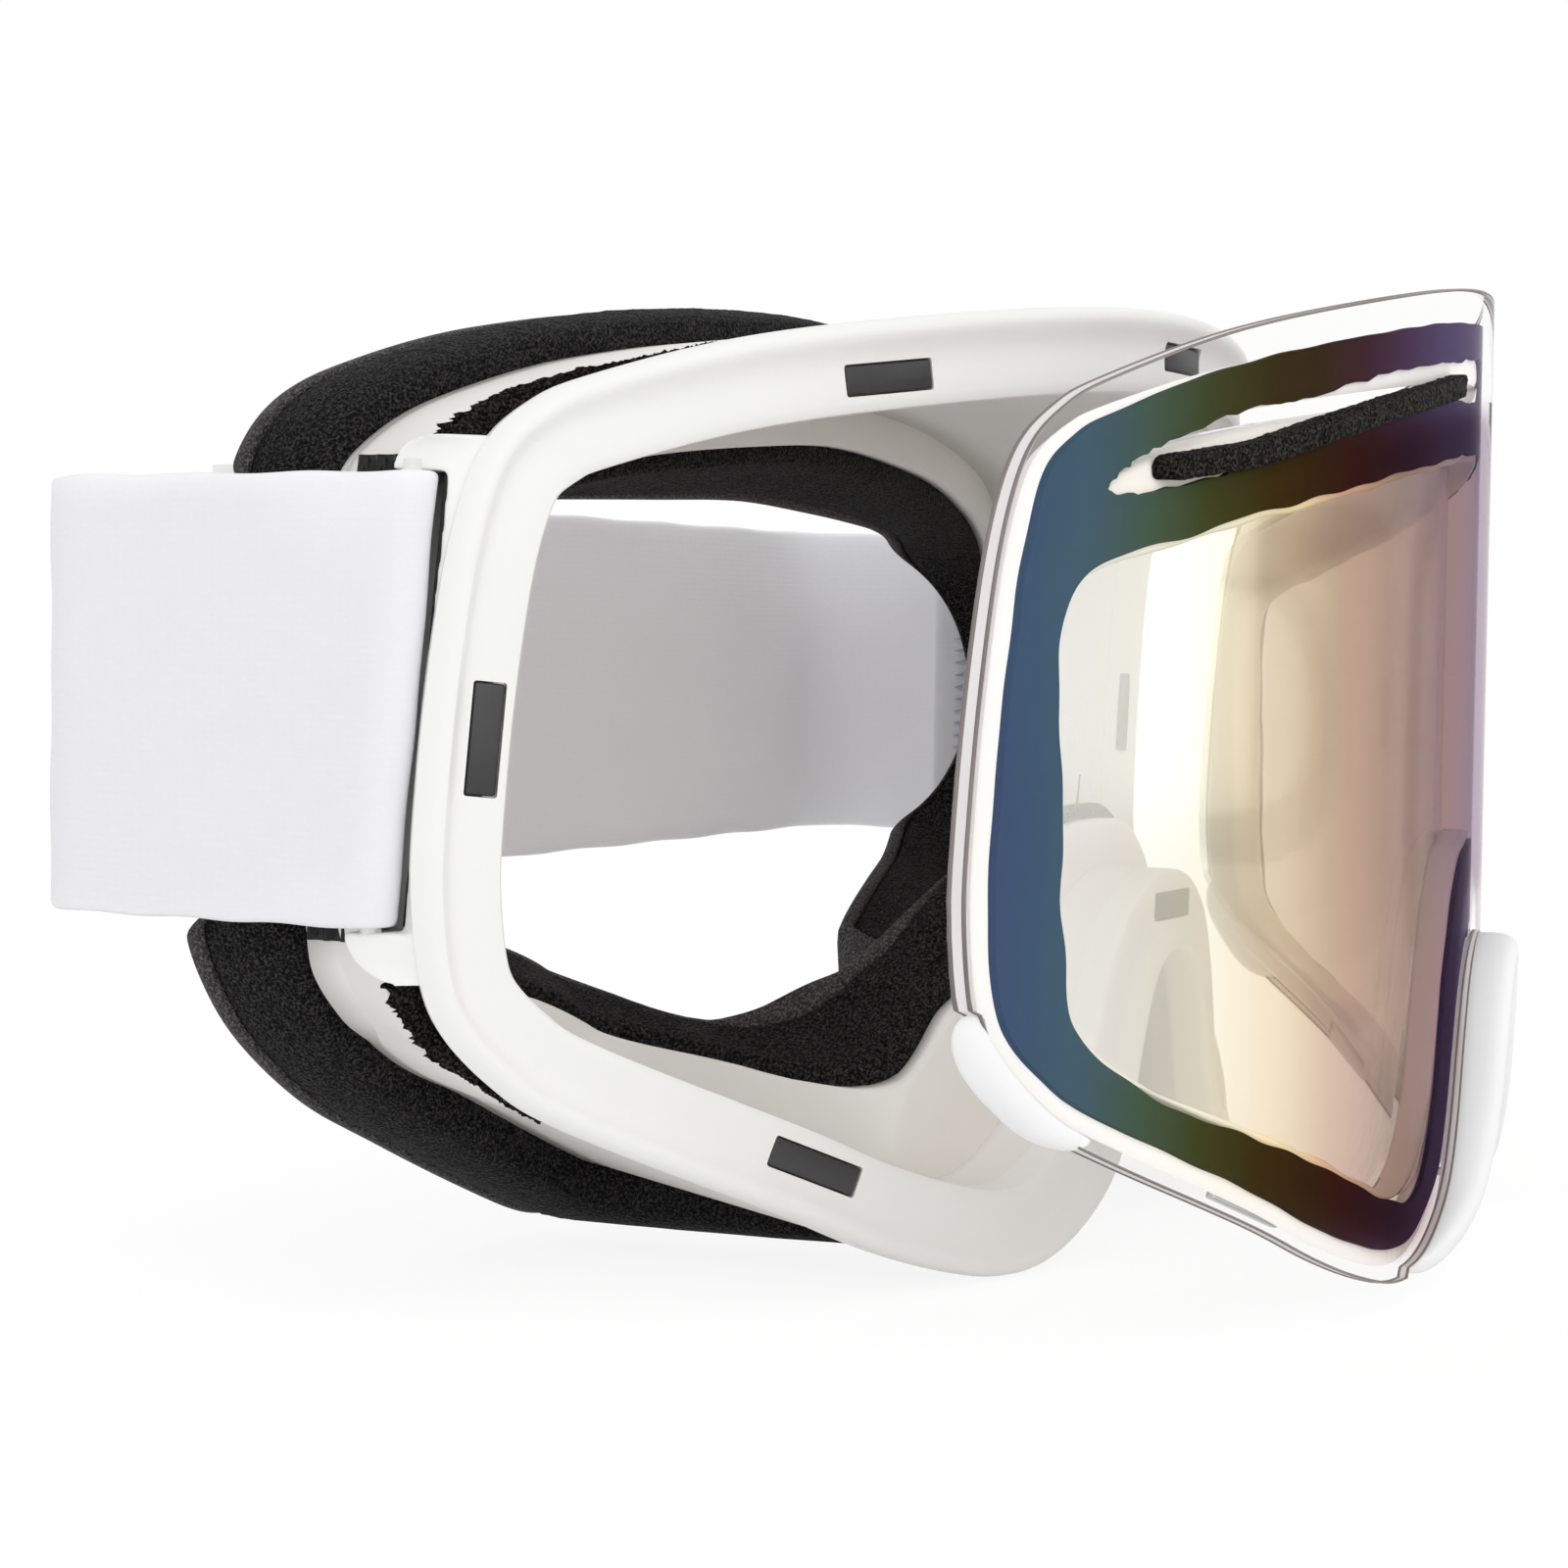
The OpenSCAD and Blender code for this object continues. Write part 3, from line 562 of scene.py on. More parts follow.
SKIN_FOAM = foamy("skin_foam", (0.009, 0.008, 0.008), (0.12, 0.108, 0.11), 2200.0, 0.0004, 0.5)
VENT_FOAM = foamy("vent_foam", (0.002, 0.002, 0.002), (0.06, 0.053, 0.047), 2000.0, 0.0006, 0.08)
STRAP = woven("elastic_strap", (0.91, 0.905, 0.94), (0.89, 0.885, 0.92))
# The colours along the lens are painted iridescent reflection of the mirror coat, set by place
# rather than by the angle of view.
BAND = banded("band_painted_iridescence", [
    (0.0, (0.07, 0.05, 0.125)), (0.27, (0.065, 0.045, 0.115)), (0.37, (0.055, 0.028, 0.072)),
    (0.48, (0.038, 0.012, 0.02)), (0.58, (0.03, 0.016, 0.006)), (0.65, (0.032, 0.02, 0.004)),
    (0.74, (0.042, 0.05, 0.015)), (0.80, (0.052, 0.086, 0.06)), (0.86, (0.05, 0.095, 0.132)),
    (0.93, (0.047, 0.078, 0.155)), (1.0, (0.06, 0.064, 0.125))], 0.6)
TINTED = shaded_glass("tinted_pane", [
    (0.0, (0.46, 0.39, 0.48)), (0.14, (0.5, 0.41, 0.48)), (0.25, (0.6, 0.49, 0.52)),
    (0.4, (0.56, 0.45, 0.4)), (0.53, (0.84, 0.65, 0.53)), (0.63, (1, 0.92, 0.72)),
    (0.73, (1, 0.98, 0.9)), (0.83, (1, 0.99, 0.96)), (0.9, (1, 1, 0.99))],
    0.0, (0.98, 0.97, 0.96, 1), (0.985, 0.98, 0.975))
CLEAR = shaded_glass("clear_pane", [(0.0, (0.985, 0.98, 0.975)), (1.0, (0.99, 0.99, 0.985))],
                     0.1, (0.99, 0.99, 0.985, 1), (0.99, 0.99, 0.985), 0.26)
PANE_EDGE = grained("pane_edge", (0.78, 0.76, 0.75), (0.72, 0.7, 0.69), 0.3)
PANE_LINE = grained("pane_line", (0.16, 0.135, 0.13), (0.22, 0.19, 0.18), 0.3)


def finished(obj, material, body, slot, *nodes):
    obj.data.materials.clear()
    obj.data.materials.append(material)
    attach(obj, body)
    if nodes:
        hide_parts(*nodes)
    return obj


# Front rim with its bead, and the magnets in their pockets
def seat_matrix(s, z, r, lean):
    """The place at distance s round the seat, height z and drum radius r, leaned in degrees."""
    return (Matrix.Translation((0, SEAT_Y * MM, 0)) @ Matrix.Rotation(s / SEAT_R, 4, "Z")
            @ Matrix.Translation((0, -r * MM, z * MM))
            @ Matrix.Rotation(math.radians(lean), 4, "Y"))


def magnet_blocks(name, grow, r0, r1, round_by, inward=0.0):
    """The set of eight; the upright ones sit further inward and are slimmer by a share of it."""
    depth = r1 - r0
    mid = (r0 + r1) / 2
    made = []

    def place(s, z, lean, upright):
        wide, high = (MAGNET[1] - inward * 0.4, MAGNET[0]) if upright else MAGNET[:2]
        made.append(moved(block("magnet", (wide + 2 * grow, depth, high + 2 * grow), round_by),
                          seat_matrix(s, z, mid, lean)))

    for s, z, lean, upright in MAGNETS:
        height = z * (BROW_H if z > 0 else CHEEK_H)
        for side in (-1, 1):
            place(side * (s * RIM_ARC - inward * upright), height, -side * lean, upright)
    place(0, MIDDLE_MAGNETS[0] * BROW_H, 0, False)
    place(0, MIDDLE_MAGNETS[1] * CHEEK_H, 0, False)
    return joined(name, made)


RIM_PROFILE = [
    (1.2, -3.6), (0.35, -3.45), (0.05, -3.0), (0, -2.2), (0, -0.9), (0.04, -0.1), (0.2, 0.55),
    (0.55, 1.0), (1.05, 1.2), (1.6, 1.14), (2.15, 0.9), (2.7, 0.58), (3.3, 0.27), (3.9, 0.06),
    (4.6, -0.05), (5.4, -0.07), (6.3, -0.04), (7.2, 0), (8.0, 0), (8.8, -0.06), (9.2, -0.28),
    (9.38, -0.7), (9.4, -1.6), (9.4, -3.6), (7.0, -3.6), (4.0, -3.6)]
MAGNET_BACK = SEAT_R - MAGNET[2] - 0.2


def rim_loop(d, h):
    """One row of the profile; the outer side and the back next to it wrap round the drum."""
    outer = (d < 5 and h < -0.5) or (d < 0.3 and h < 0)
    return (radial if outer else on_drum)(rim_line(d), SEAT_R + h)


rim = ring("white_rim", [rim_loop(*row) for row in RIM_PROFILE])
cut(rim, magnet_blocks("pockets", 0.15, MAGNET_BACK, SEAT_R + 3, 0.3))
finished(rim, WHITE, "frame", "white_frame", "front_rim")
magnets = magnet_blocks("seat_magnet_set", 0, MAGNET_BACK, SEAT_R - 0.15, 0.25)
finished(magnets, MAGNET_DARK, "frame", "magnet", "seat_magnets")

# Face frame: inner wall, flange and outer wall
FRAME_N = 576
FOAM_N = 900
CHEEK_DROP = 1.6
TEMPLE_SWELL = 2.8
TEMPLE_Z = 28


def flange_line(extra=0):
    """The flange's outer edge, further in under the cheeks and further out at the temples."""
    s, z = np.abs(FOAM_FLAT[:, 0]), FOAM_FLAT[:, 1]
    under = ramp((88 - s) / 16) * ramp((s - 24) / 10) * ramp((-z - 20) / 12)
    beside = np.exp(-((z - TEMPLE_Z) / 7) ** 2) * (s > 70)
    depth = FLANGE_IN + extra + CHEEK_DROP * under - TEMPLE_SWELL * beside
    return even(spline(inset(FOAM_FLAT, depth), 4), FRAME_N)


def eye_line(d, grow=0, n=FOAM_N):
    """The eye opening at depth d from the face, a little wider in front."""
    t = float(np.clip((FOAM_T - d) / (FOAM_T - 1), 0, 1))
    return even(spline(inset(mixed(EYE_FLAT, EYE_BACK_FLAT, t), -grow), 8), n)


def on_face(flat, d, r):
    """The outline at depth d from the face, kept inside the drum of radius r."""
    x = front_x(flat[:, 0])
    y = np.maximum(face_front(x, flat[:, 1], d), SEAT_Y - np.sqrt(r ** 2 - x ** 2))
    return np.stack([x, y, flat[:, 1]], 1)


BACK_R = 104
LENGTHWISE = (0, 0.02, 0.3, 0.7, 1)
WALL_LEAST = 0.2


def wall_side(d):
    """The wall's front and back edge on one of its sides, d inside the rim's outline."""
    front = on_drum(rim_line(d), SEAT_R - RIM_T)
    back = on_face(rim_line(d), FOAM_T + 1, BACK_R)
    back[:, 1] = np.maximum(back[:, 1], front[:, 1] + WALL_LEAST)
    return front, back


wall_in, wall_out = wall_side(RIM_W), wall_side(RIM_W - WALL_T)
wall = ring("inner_wall", between(*wall_in, LENGTHWISE) + between(*wall_out, LENGTHWISE[::-1]))

FLANGE_STEPS = (0, 0.03, 0.15, 0.35, 0.6, 0.85, 0.97, 1)
FLANGE_R = (103.02, 105)
across = between(eye_line(FOAM_T, 2, FRAME_N), flange_line(), FLANGE_STEPS)
flange = ring("flange", [on_face(line, FOAM_T + FLANGE_T, FLANGE_R[1]) for line in across]
              + [on_face(line, FOAM_T, FLANGE_R[0]) for line in across[::-1]])

STRAP_HI = STRAP_Z + STRAP_W / 2
STRAP_LO = STRAP_Z - STRAP_W / 2
SHROUD_T = 1.2
SHROUD_IN = 0.8
SHROUD_LIP = 2.6
SHROUD_END = FOAM_T + 0.6
VENT_WIDE = (1.5, 1.0)
VENT_SHUT = 1.1


def shroud_front(d, n):
    """The shroud's front edge: behind the rim, with a gap where the vents open above and below."""
    flat = even(rim_line(d), n)
    top = on_drum(flat, SEAT_R - RIM_T)
    low = on_drum(flat, SEAT_R - RIM_T + 1.4)
    line = mixed(low, top, ramp((flat[:, 1:] + 10) / 20))
    s, z = np.abs(flat[:, 0]), flat[:, 1]
    opened = np.where(z > 0, ramp((s - 76) / 8), ramp((s - 95) / 4))
    line[:, 1] += opened * np.where(z > 0, *VENT_WIDE) - (1 - opened) * VENT_SHUT
    return line


out_front, in_front = shroud_front(SHROUD_IN, FRAME_N), shroud_front(SHROUD_IN + SHROUD_T, FRAME_N)
in_front[:, 1] += SHROUD_LIP
out_back, in_back = (on_face(flange_line(extra), SHROUD_END, BACK_R) for extra in (0, SHROUD_T))
SHROUD_STEPS = (0, 0.02, 0.1, 0.3, 0.5, 0.7, 0.9, 1)
shroud_loops = (between(out_front, out_back, SHROUD_STEPS)
                + between(in_front, in_back, SHROUD_STEPS[::-1]))
z_of = out_front[:, 2]
shrouds = [bar("shroud", arc_of(shroud_loops, keep))
           for keep in (z_of > STRAP_HI - 4, z_of < STRAP_LO + 4)]
face_frame = joined("face_frame_shell", [wall, flange, *shrouds])
finished(face_frame, WARM_WHITE, "frame", "white_soft_frame", "face_frame")

# Vent foam behind the rim
VENT_N = 2200
VENT_DEPTH = 4.2
VENT_CROWN = 1.2
VENT_ABOVE, VENT_BELOW = (STRAP_HI + 2.6, 67), (3 - STRAP_LO, 81)


def vent_foam(name, keeps, seed):
    """Foam crescents that fill the gap between the rim's rear edge and the shroud."""
    rear = radial(even(rim_line(0.3), VENT_N), SEAT_R - RIM_T - 0.02)
    rear_in = radial(even(rim_line(VENT_DEPTH), VENT_N), SEAT_R - RIM_T - 0.3)
    edge, edge_in = shroud_front(0.7, VENT_N), shroud_front(VENT_DEPTH, VENT_N)
    draw = np.random.default_rng(seed)
    edge += (edge - rear) * np.clip(draw.normal(0.06, 0.09, (VENT_N, 1)), -0.15, 0.3)
    edge[:, 0] += 0.25 * np.sign(edge[:, 0])
    edge[:, 1] += 0.1
    edge_in[:, 1] += 2.5
    out = np.column_stack([np.sign(edge[:, 0]), np.zeros(VENT_N), np.sign(edge[:, 2]) * 0.5])
    coarse, fine = np.linspace(0, 1, 5), np.linspace(0, 1, 9)
    loops = ([mixed(rear, edge, t) + out * VENT_CROWN * t * (1 - t)
              for t in np.linspace(0, 1, 12)]
             + between(edge, edge_in, fine[1:]) + between(edge_in, rear_in, coarse[1:])
             + between(rear_in, rear, fine[1:-1]))
    obj = joined(name, [bar(name, arc_of(loops, keep(edge))) for keep in keeps])
    jitter(obj, 0.12, seed)
    return finished(obj, VENT_FOAM, "frame", "vent_foam", name.replace("crescent", "foam"))


def vent_at(side, up):
    """Tells which points lie in the vent on one side, above the strap or below it."""
    z, x = VENT_ABOVE if up > 0 else VENT_BELOW
    return lambda p: (up * p[:, 2] > z) & (side * p[:, 0] > x)


vent_foam("vent_crescent_top", [vent_at(1, 1), vent_at(-1, 1)], 1)
vent_foam("vent_crescent_lower_left", [vent_at(1, -1)], 2)
vent_foam("vent_crescent_lower_right", [vent_at(-1, -1)], 3)

# Face foam: a thick pad and a thin fleece layer, both with rounded edges
FOAM_OUT = even(spline(FOAM_FLAT, 6), FOAM_N)
IN, OUT = 0, 1


def foam_loop(edge, mm, d):
    """A line at so many mm from the pad's inner or outer edge, at depth d from the face."""
    eye = eye_line(d)
    t = np.minimum(mm / np.linalg.norm(FOAM_OUT - eye, axis=1)[:, None], 0.5)
    t = 1 - t if edge == OUT else t
    return on_face(mixed(eye, FOAM_OUT, t), d, BACK_R - 1 - 0.23 * (FOAM_T - d))


PAD_SECTION = [
    (IN, 0.1, 12.6), (IN, 0.0, 11), (IN, 0.05, 9), (IN, 0.0, 7), (IN, 0.1, 5),
    (IN, 0.3, 3.4), (IN, 0.9, 2.5), (IN, 1.8, 2.2), (IN, 4, 2.1), (IN, 99, 2.1),
    (OUT, 4, 2.1), (OUT, 2.2, 2.2), (OUT, 1.4, 2.5), (OUT, 0.9, 3.0), (OUT, 0.5, 3.8),
    (OUT, 0.2, 5), (OUT, 0.0, 6.5), (OUT, 0.0, 8), (OUT, 0.2, 9.5), (OUT, 0.5, 11),
    (OUT, 1.0, 12.2), (OUT, 1.6, 12.9), (OUT, 4, 12.95), (IN, 99, 12.95),
    (IN, 3, 12.95), (IN, 0.8, 12.9)]
FLEECE_SECTION = [
    (IN, 1.4, 2.0), (IN, 0.8, 1.7), (IN, 0.6, 1.1), (IN, 0.9, 0.5), (IN, 1.7, 0.1),
    (IN, 3, 0), (IN, 99, 0), (OUT, 3.4, 0), (OUT, 2.0, 0.08), (OUT, 1.1, 0.4),
    (OUT, 0.5, 1.0), (OUT, 0.25, 1.8), (OUT, 0.35, 2.4), (OUT, 0.8, 2.8),
    (OUT, 1.6, 2.4), (OUT, 4, 2.1), (IN, 99, 2.05), (IN, 3, 2.05)]
pad = ring("face_foam_pad", [foam_loop(*row) for row in PAD_SECTION])
jitter(pad, 0.035, 4)
finished(pad, PAD_FOAM, "frame", "face_foam", "foam_base", "foam_middle")
fleece = ring("fleece_layer", [foam_loop(*row) for row in FLEECE_SECTION])
finished(fleece, SKIN_FOAM, "frame", "fleece", "face_fleece")

# Outriggers: a wing beside the rim in front of each fold, its two lobes and the strap's bar
WING_X = 88.2
WING_R = 113.7
WING_CLEAR = FOLD_R + 0.15
WING_T = 2.6
WING_LO, WING_HI = -20.7, 32.9
LOBE_X = 91.2
UPPER_LOBE = (STRAP_HI, 3.7, -8, 4.9)
LOWER_LOBE = (STRAP_LO, 5.5, -4.5, 6.9)
CLIP_HALF = 2.6


def bar_y(z):
    return BAR[1] - math.tan(BAR_LEAN) * (z - STRAP_Z)


def lobe_tip(z, lobe):
    """How far back the lobe reaches at z. It is round in the upright plane."""
    start, height, y, reach = lobe
    return LOBE_X, y + reach * math.sqrt(max(0.02, 1 - ((z - start) / height) ** 2))


def wing_row(z, outline):
    """The wing's section at z, with its sides split evenly."""
    a = float(np.interp(z, outline[:, 1], outline[:, 0])) / SEAT_R
    front = (WING_R * math.sin(a) - 0.3, SEAT_Y - WING_R * math.cos(a) - 0.3)
    if z > STRAP_HI + 0.12:
        rear = lobe_tip(z, UPPER_LOBE)
    elif z < STRAP_LO - 0.42:
        rear = lobe_tip(z, LOWER_LOBE)
    else:
        rear = (WING_X, bar_y(z) - WING_CLEAR)
    inner = min(front[0], rear[0]) - WING_T
    row = np.array([front, rear, (inner, rear[1]), (inner - 1.5, front[1] - 0.5)])
    return np.concatenate([mixed(row, np.roll(row, -1, 0), t)[k:k + 1] for k in range(4)
                           for t in np.linspace(0, 1, 6)[:-1]])


def outrigger(side):
    outline = rim_line(0)
    outline = outline[(outline[:, 0] > 80) & (outline[:, 1] > -30)]
    outline = outline[np.argsort(outline[:, 1])]
    levels = np.concatenate([np.linspace(WING_LO, STRAP_LO - 0.45, 14),
                             np.linspace(STRAP_LO - 0.4, STRAP_HI + 0.1, 40),
                             np.linspace(STRAP_HI + 0.15, WING_HI, 14)])
    rows = [wing_row(z, outline) for z in levels]
    body = bar("wing", [np.column_stack([row * [side, 1], np.full(len(row), z)])
                        for row, z in zip(rows, levels)])
    with_modifier(body, "REMESH", mode="VOXEL", voxel_size=0.3 * MM)
    with_modifier(body, "SMOOTH", factor=0.5, iterations=12)
    turn = np.linspace(0, 2 * math.pi, 16, endpoint=False)
    rod = bar("rod", [np.column_stack([side * (BAR[0] + np.cos(turn)), bar_y(z) + np.sin(turn),
                                       np.full(16, z)])
                      for z in (STRAP_LO - 1.5, STRAP_HI + 1.2)])
    return joined("strap_arm", [body, rod])


CLIP_X = (84.9, 86.1)
CLIP_RIBS = 5
CLIP_N = 41
RIB = 0.55
# Inner edge of the thin black sheet that paints shade into the slit beside the fold.
SLIT_SHADE_X = 84.4


def strap_clip(side):
    """The dark clip inside the fold, with its ribs, and a thin black sheet just behind the wing
    that is painted shade in the slit before the fold.
    """
    rows = []
    for z in np.linspace(STRAP_LO - 2, STRAP_HI + 1.9, 30):
        mid = 1.6 - 0.125 * (z - 30)
        y = np.linspace(mid - CLIP_HALF, mid + CLIP_HALF, CLIP_N)
        wave = np.cos((y - mid) / CLIP_HALF * CLIP_RIBS / 2 * math.pi)
        out = np.column_stack([side * (CLIP_X[1] + RIB * np.clip(wave, 0, 1) ** 0.5), y])
        back = np.column_stack([np.full(CLIP_N, side * CLIP_X[0]), y[::-1]])
        rows.append(np.column_stack([np.concatenate([out, back]), np.full(2 * CLIP_N, z)]))
    plate = bar("plate", rows)
    # A thin black sheet just behind the wing: painted shade for the slit between the wing and the
    # fold.
    rows = []
    for z in np.linspace(STRAP_LO + 0.1, STRAP_HI - 0.1, 20):
        y = bar_y(z) - WING_CLEAR
        rows.append(np.array([(side * SLIT_SHADE_X, y + 0.05, z), (side * (WING_X - 0.1), y + 0.05, z),
                              (side * (WING_X - 0.3), y + 0.3, z), (side * SLIT_SHADE_X, y + 0.3, z)]))
    return joined("side_clip", [plate, bar("lip", rows)])


for name, side in SIDES:
    arm = outrigger(side)
    arm.name = "strap_arm_" + name
    finished(arm, WHITE, "frame", "white_frame", "outrigger_" + name)
    clip = strap_clip(side)
    clip.name = "side_clip_" + name
    finished(clip, BLACK_CLIP, "frame", "black_clip", "strap_clip_" + name)


# Elastic strap: one band from the slider's layer, round both bars, to the sewn end
RETURN_X = 63.5


def arc(centre, r, a0, a1, n):
    a = np.radians(np.linspace(a0, a1, n))
    return np.stack([centre[0] + r * np.cos(a), centre[1] + r * np.sin(a)], 1)


def strap_path():
    """The webbing's middle line seen from above, from the slider's end to the sewn end."""
    mid = FOLD_R - STRAP_T / 2
    bend = (OUTER_X - BEND_R, STRAP_BACK - BEND_R)
    r_out = BEND_R - STRAP_T / 2
    r_in = r_out - STRAP_T - RETURN_GAP
    x_in = bend[0] + r_in
    layer = [[BAR[0] - mid, 1.6], [BAR[0] - mid, BAR[1]]]
    right = np.concatenate([
        [[RETURN_X, bend[1] + r_in]], arc(bend, r_in, 90, 0, 14), [[x_in, 12]], layer,
        arc(BAR, mid, 180, 360, 14),
        arc(bend, r_out, 0, 90, 16)]) * [-1, 1]
    left = np.concatenate([
        arc(bend, r_out, 90, 0, 16), arc(BAR, mid, 360, 180, 14),
        layer[::-1], [[x_in, 12], [x_in, 22]]])
    return np.concatenate([right, left])


def strap_section():
    """The webbing's section: flat faces and round edges."""
    half, edge = STRAP_W / 2, STRAP_T / 2
    across = np.linspace(edge - half, half - edge, 23)
    turn = np.radians(np.linspace(0, 180, 7))[1:-1]
    return ([(-edge, v) for v in across]
            + [(-edge * math.cos(a), half - edge + edge * math.sin(a)) for a in turn]
            + [(edge, v) for v in across[::-1]]
            + [(edge * math.cos(a), edge - half - edge * math.sin(a)) for a in turn])


PATH_STEP = 0.5
LEAN_Y = 26
RIPPLE = 0.12
SWAY = 0.1


def elastic_band():
    path = spaced(strap_path(), lambda far: np.linspace(0, far, int(far / PATH_STEP) + 1))
    path = eased(path, 6)
    tangent = np.gradient(path, axis=0)
    normal = np.stack([tangent[:, 1], -tangent[:, 0]], 1)
    normal /= np.linalg.norm(normal, axis=1)[:, None]
    section = strap_section()
    sections = []
    for (x, y), (nx, ny) in zip(path, normal):
        lean = math.tan(BAR_LEAN) * float(ramp((LEAN_Y - y) / LEAN_Y))
        sway = SWAY * math.sin(0.3 * x + 0.5 * y)
        rows = []
        for off, v in section:
            off += RIPPLE * math.sin(0.21 * y + 0.35 * v) * math.sin(0.13 * v + 0.11 * x)
            rows.append((x + nx * off, y + ny * off - lean * v, STRAP_Z + v + sway))
        sections.append(np.array(rows))
    return bar("elastic_band", sections)


finished(elastic_band(), STRAP, "frame", "strap", "strap_webbing", "strap_return")

# Slider, its tab, the sewn patches and the grip lines
finished(molded("strap_slider", "slider", 4), RUBBER, "slider", "white_slider", "slider")
finished(molded("slider_loop", "slider_tab", 3), STRAP, "slider", "strap", "slider_tab")


STITCH = (0.34, 2.6, 0.36)
STITCH_PITCH = 0.9
TACK_X = OUTER_X - 2 * STRAP_T - RETURN_GAP - 0.2
TACK_Y = 17.5
TACK_EDGE = 4


def stitch_row(x):
    """A row of slanting stitches, every second one the other way."""
    made = []
    for k in range(int((STRAP_W - 2 * TACK_EDGE) / STITCH_PITCH)):
        z = STRAP_LO + TACK_EDGE + k * STITCH_PITCH
        place = Matrix.Translation((x * MM, TACK_Y * MM, z * MM))
        tilt = Matrix.Rotation(math.radians(18 if k % 2 else -18), 4, "X")
        made.append(moved(block("stitch", STITCH, 0.15, 2), place @ tilt))
    return made


tacks = joined("bar_tacks", stitch_row(-TACK_X) + stitch_row(TACK_X))
finished(tacks, THREAD, "frame", "strap_thread", "strap_bar_tack")


def grip_line(z, x0, x1):
    """A wavy line of silicone on the strap's inner face, thinner at its ends."""
    a = np.linspace(0, 2 * math.pi, 12, endpoint=False)
    rows = []
    for x in np.linspace(x0, x1, 60):
        along = (x - (x0 + x1) / 2) / ((x1 - x0) / 2)
        swell = min(1, math.sqrt(max(0.05, 1 - along ** 8)))
        y = STRAP_BACK - STRAP_T - 0.25 + 0.3 * np.cos(a) * swell
        up = STRAP_Z + z + 0.4 * math.sin(x * 0.9) + 1.1 * np.sin(a) * swell
        rows.append(np.stack([np.full(12, x), y, up], 1))
    return bar("line", rows)


low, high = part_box("grip_strips")
lines = [grip_line(z, low[0] / MM, high[0] / MM) for z in (-12, 0, 12)]
finished(joined("grip_lines", lines), SILICONE, "frame", "silicone", "grip_strips")

# Lens stack, drawn closed and turned open
TO_PIVOT = Matrix.Translation((PIVOT[0] * MM, PIVOT[1] * MM, 0))
OPEN = TO_PIVOT @ Matrix.Rotation(OPEN_ANGLE, 4, "Z") @ TO_PIVOT.inverted()


def on_lens(obj, material, slot, node):
    return finished(moved(obj, OPEN), material, "lens", slot, node)


def inside_by(points, line):
    """How far each point lies inside the closed line, negative outside."""
    a, b = line, np.roll(line, -1, 0)
    gap = np.full(len(points), np.inf)
    crossed = np.zeros(len(points), int)
    for p, q in zip(a, b):
        gap = np.minimum(gap, np.hypot(*(points - p).T))
        spans = (p[1] > points[:, 1]) != (q[1] > points[:, 1])
        rise = q[1] - p[1] if q[1] != p[1] else 1e-9
        crossed += spans & (points[:, 0] < (q[0] - p[0]) * (points[:, 1] - p[1]) / rise + p[0])
    return np.where(crossed % 2, gap, -gap)


COLUMN_GAP = 0.25
PANE_ROWS = 60
TINT_PAST_WINDOW = 5


def columns(line):
    """Places across the outline, with its lower and upper height at each of them."""
    half = line[:len(line) // 2 + 1]
    widest = int(np.argmax(half[:, 0]))
    top, low = half[:widest + 1], half[widest:][::-1]
    s = np.unique(np.round(np.concatenate([top[:, 0], low[:, 0]]), 2))
    s = s[(s > 0) & (s < half[widest, 0])]
    keep = [s[0]]
    for value in s[1:]:
        if value - keep[-1] > COLUMN_GAP:
            keep.append(value)
    s = np.array([0] + keep + [half[widest, 0] - 0.001])
    lower, upper = (np.interp(s, part[:, 0], part[:, 1]) for part in (low, top))
    return [np.concatenate([sign * v[:0:-1], v]) for v, sign in ((s, -1), (lower, 1), (upper, 1))]


def pane_faces(n):
    """The faces of a sheet's two sides, and those of its edge."""
    back = PANE_ROWS * n
    sides, edge = [], []
    for i in range(PANE_ROWS - 1):
        for j in range(n - 1):
            a, b, c, d = i * n + j, i * n + j + 1, (i + 1) * n + j + 1, (i + 1) * n + j
            sides += [(a, b, c, d), (d + back, c + back, b + back, a + back)]
    for j in range(n - 1):
        a = (PANE_ROWS - 1) * n + j
        edge += [(j, j + back, j + 1 + back, j + 1), (a, a + 1, a + 1 + back, a + back)]
    for i in range(PANE_ROWS - 1):
        a, b = i * n, (i + 1) * n
        edge += [(a, b, b + back, a + back),
                 (a + n - 1, a + n - 1 + back, b + n - 1 + back, b + n - 1)]
    return sides, edge


def pane(name, line, r0, r1):
    """A curved sheet inside an outline, and 0 or 1 for each face of its sides or its edge."""
    s, lower, upper = columns(line)
    grid = [np.stack([s, mixed(lower, upper, t)], 1) for t in np.linspace(0, 1, PANE_ROWS)]
    sides, edge = pane_faces(len(s))
    obj = new_object(name, np.concatenate([on_drum(g, r) for r in (r1, r0) for g in grid]),
                     sides + edge)
    flat = np.concatenate(grid + grid)
    tinted = even(inset(WINDOW_FLAT, -TINT_PAST_WINDOW), 500)
    window = ramp((inside_by(flat, tinted) + 2) / 4)
    obj.data.attributes.new("window", "FLOAT", "POINT").data.foreach_set(
        "value", window.astype(np.float32))
    sharp_smooth(obj, 40)
    return obj, [0] * len(sides) + [1] * len(edge)


STEP_AT, GRIP_AT = (85.5, -26.5, 7.4), (84.5, -27.5, 8.3)
STEP_X, GUARD_X = 33.4, 32
NOSE_TOP = -10.3


def in_circle(x, z, circle):
    return (x - circle[0]) ** 2 + (z - circle[1]) ** 2 < circle[2] ** 2


def in_zone(p):
    """True where the lens steps back for a corner grip or the nose guard."""
    x = np.abs(front_x(p[:, 0]))
    nose = (x < STEP_X) & (p[:, 1] < NOSE_TOP)
    return (in_circle(x, p[:, 1], STEP_AT) | nose)[:, None]


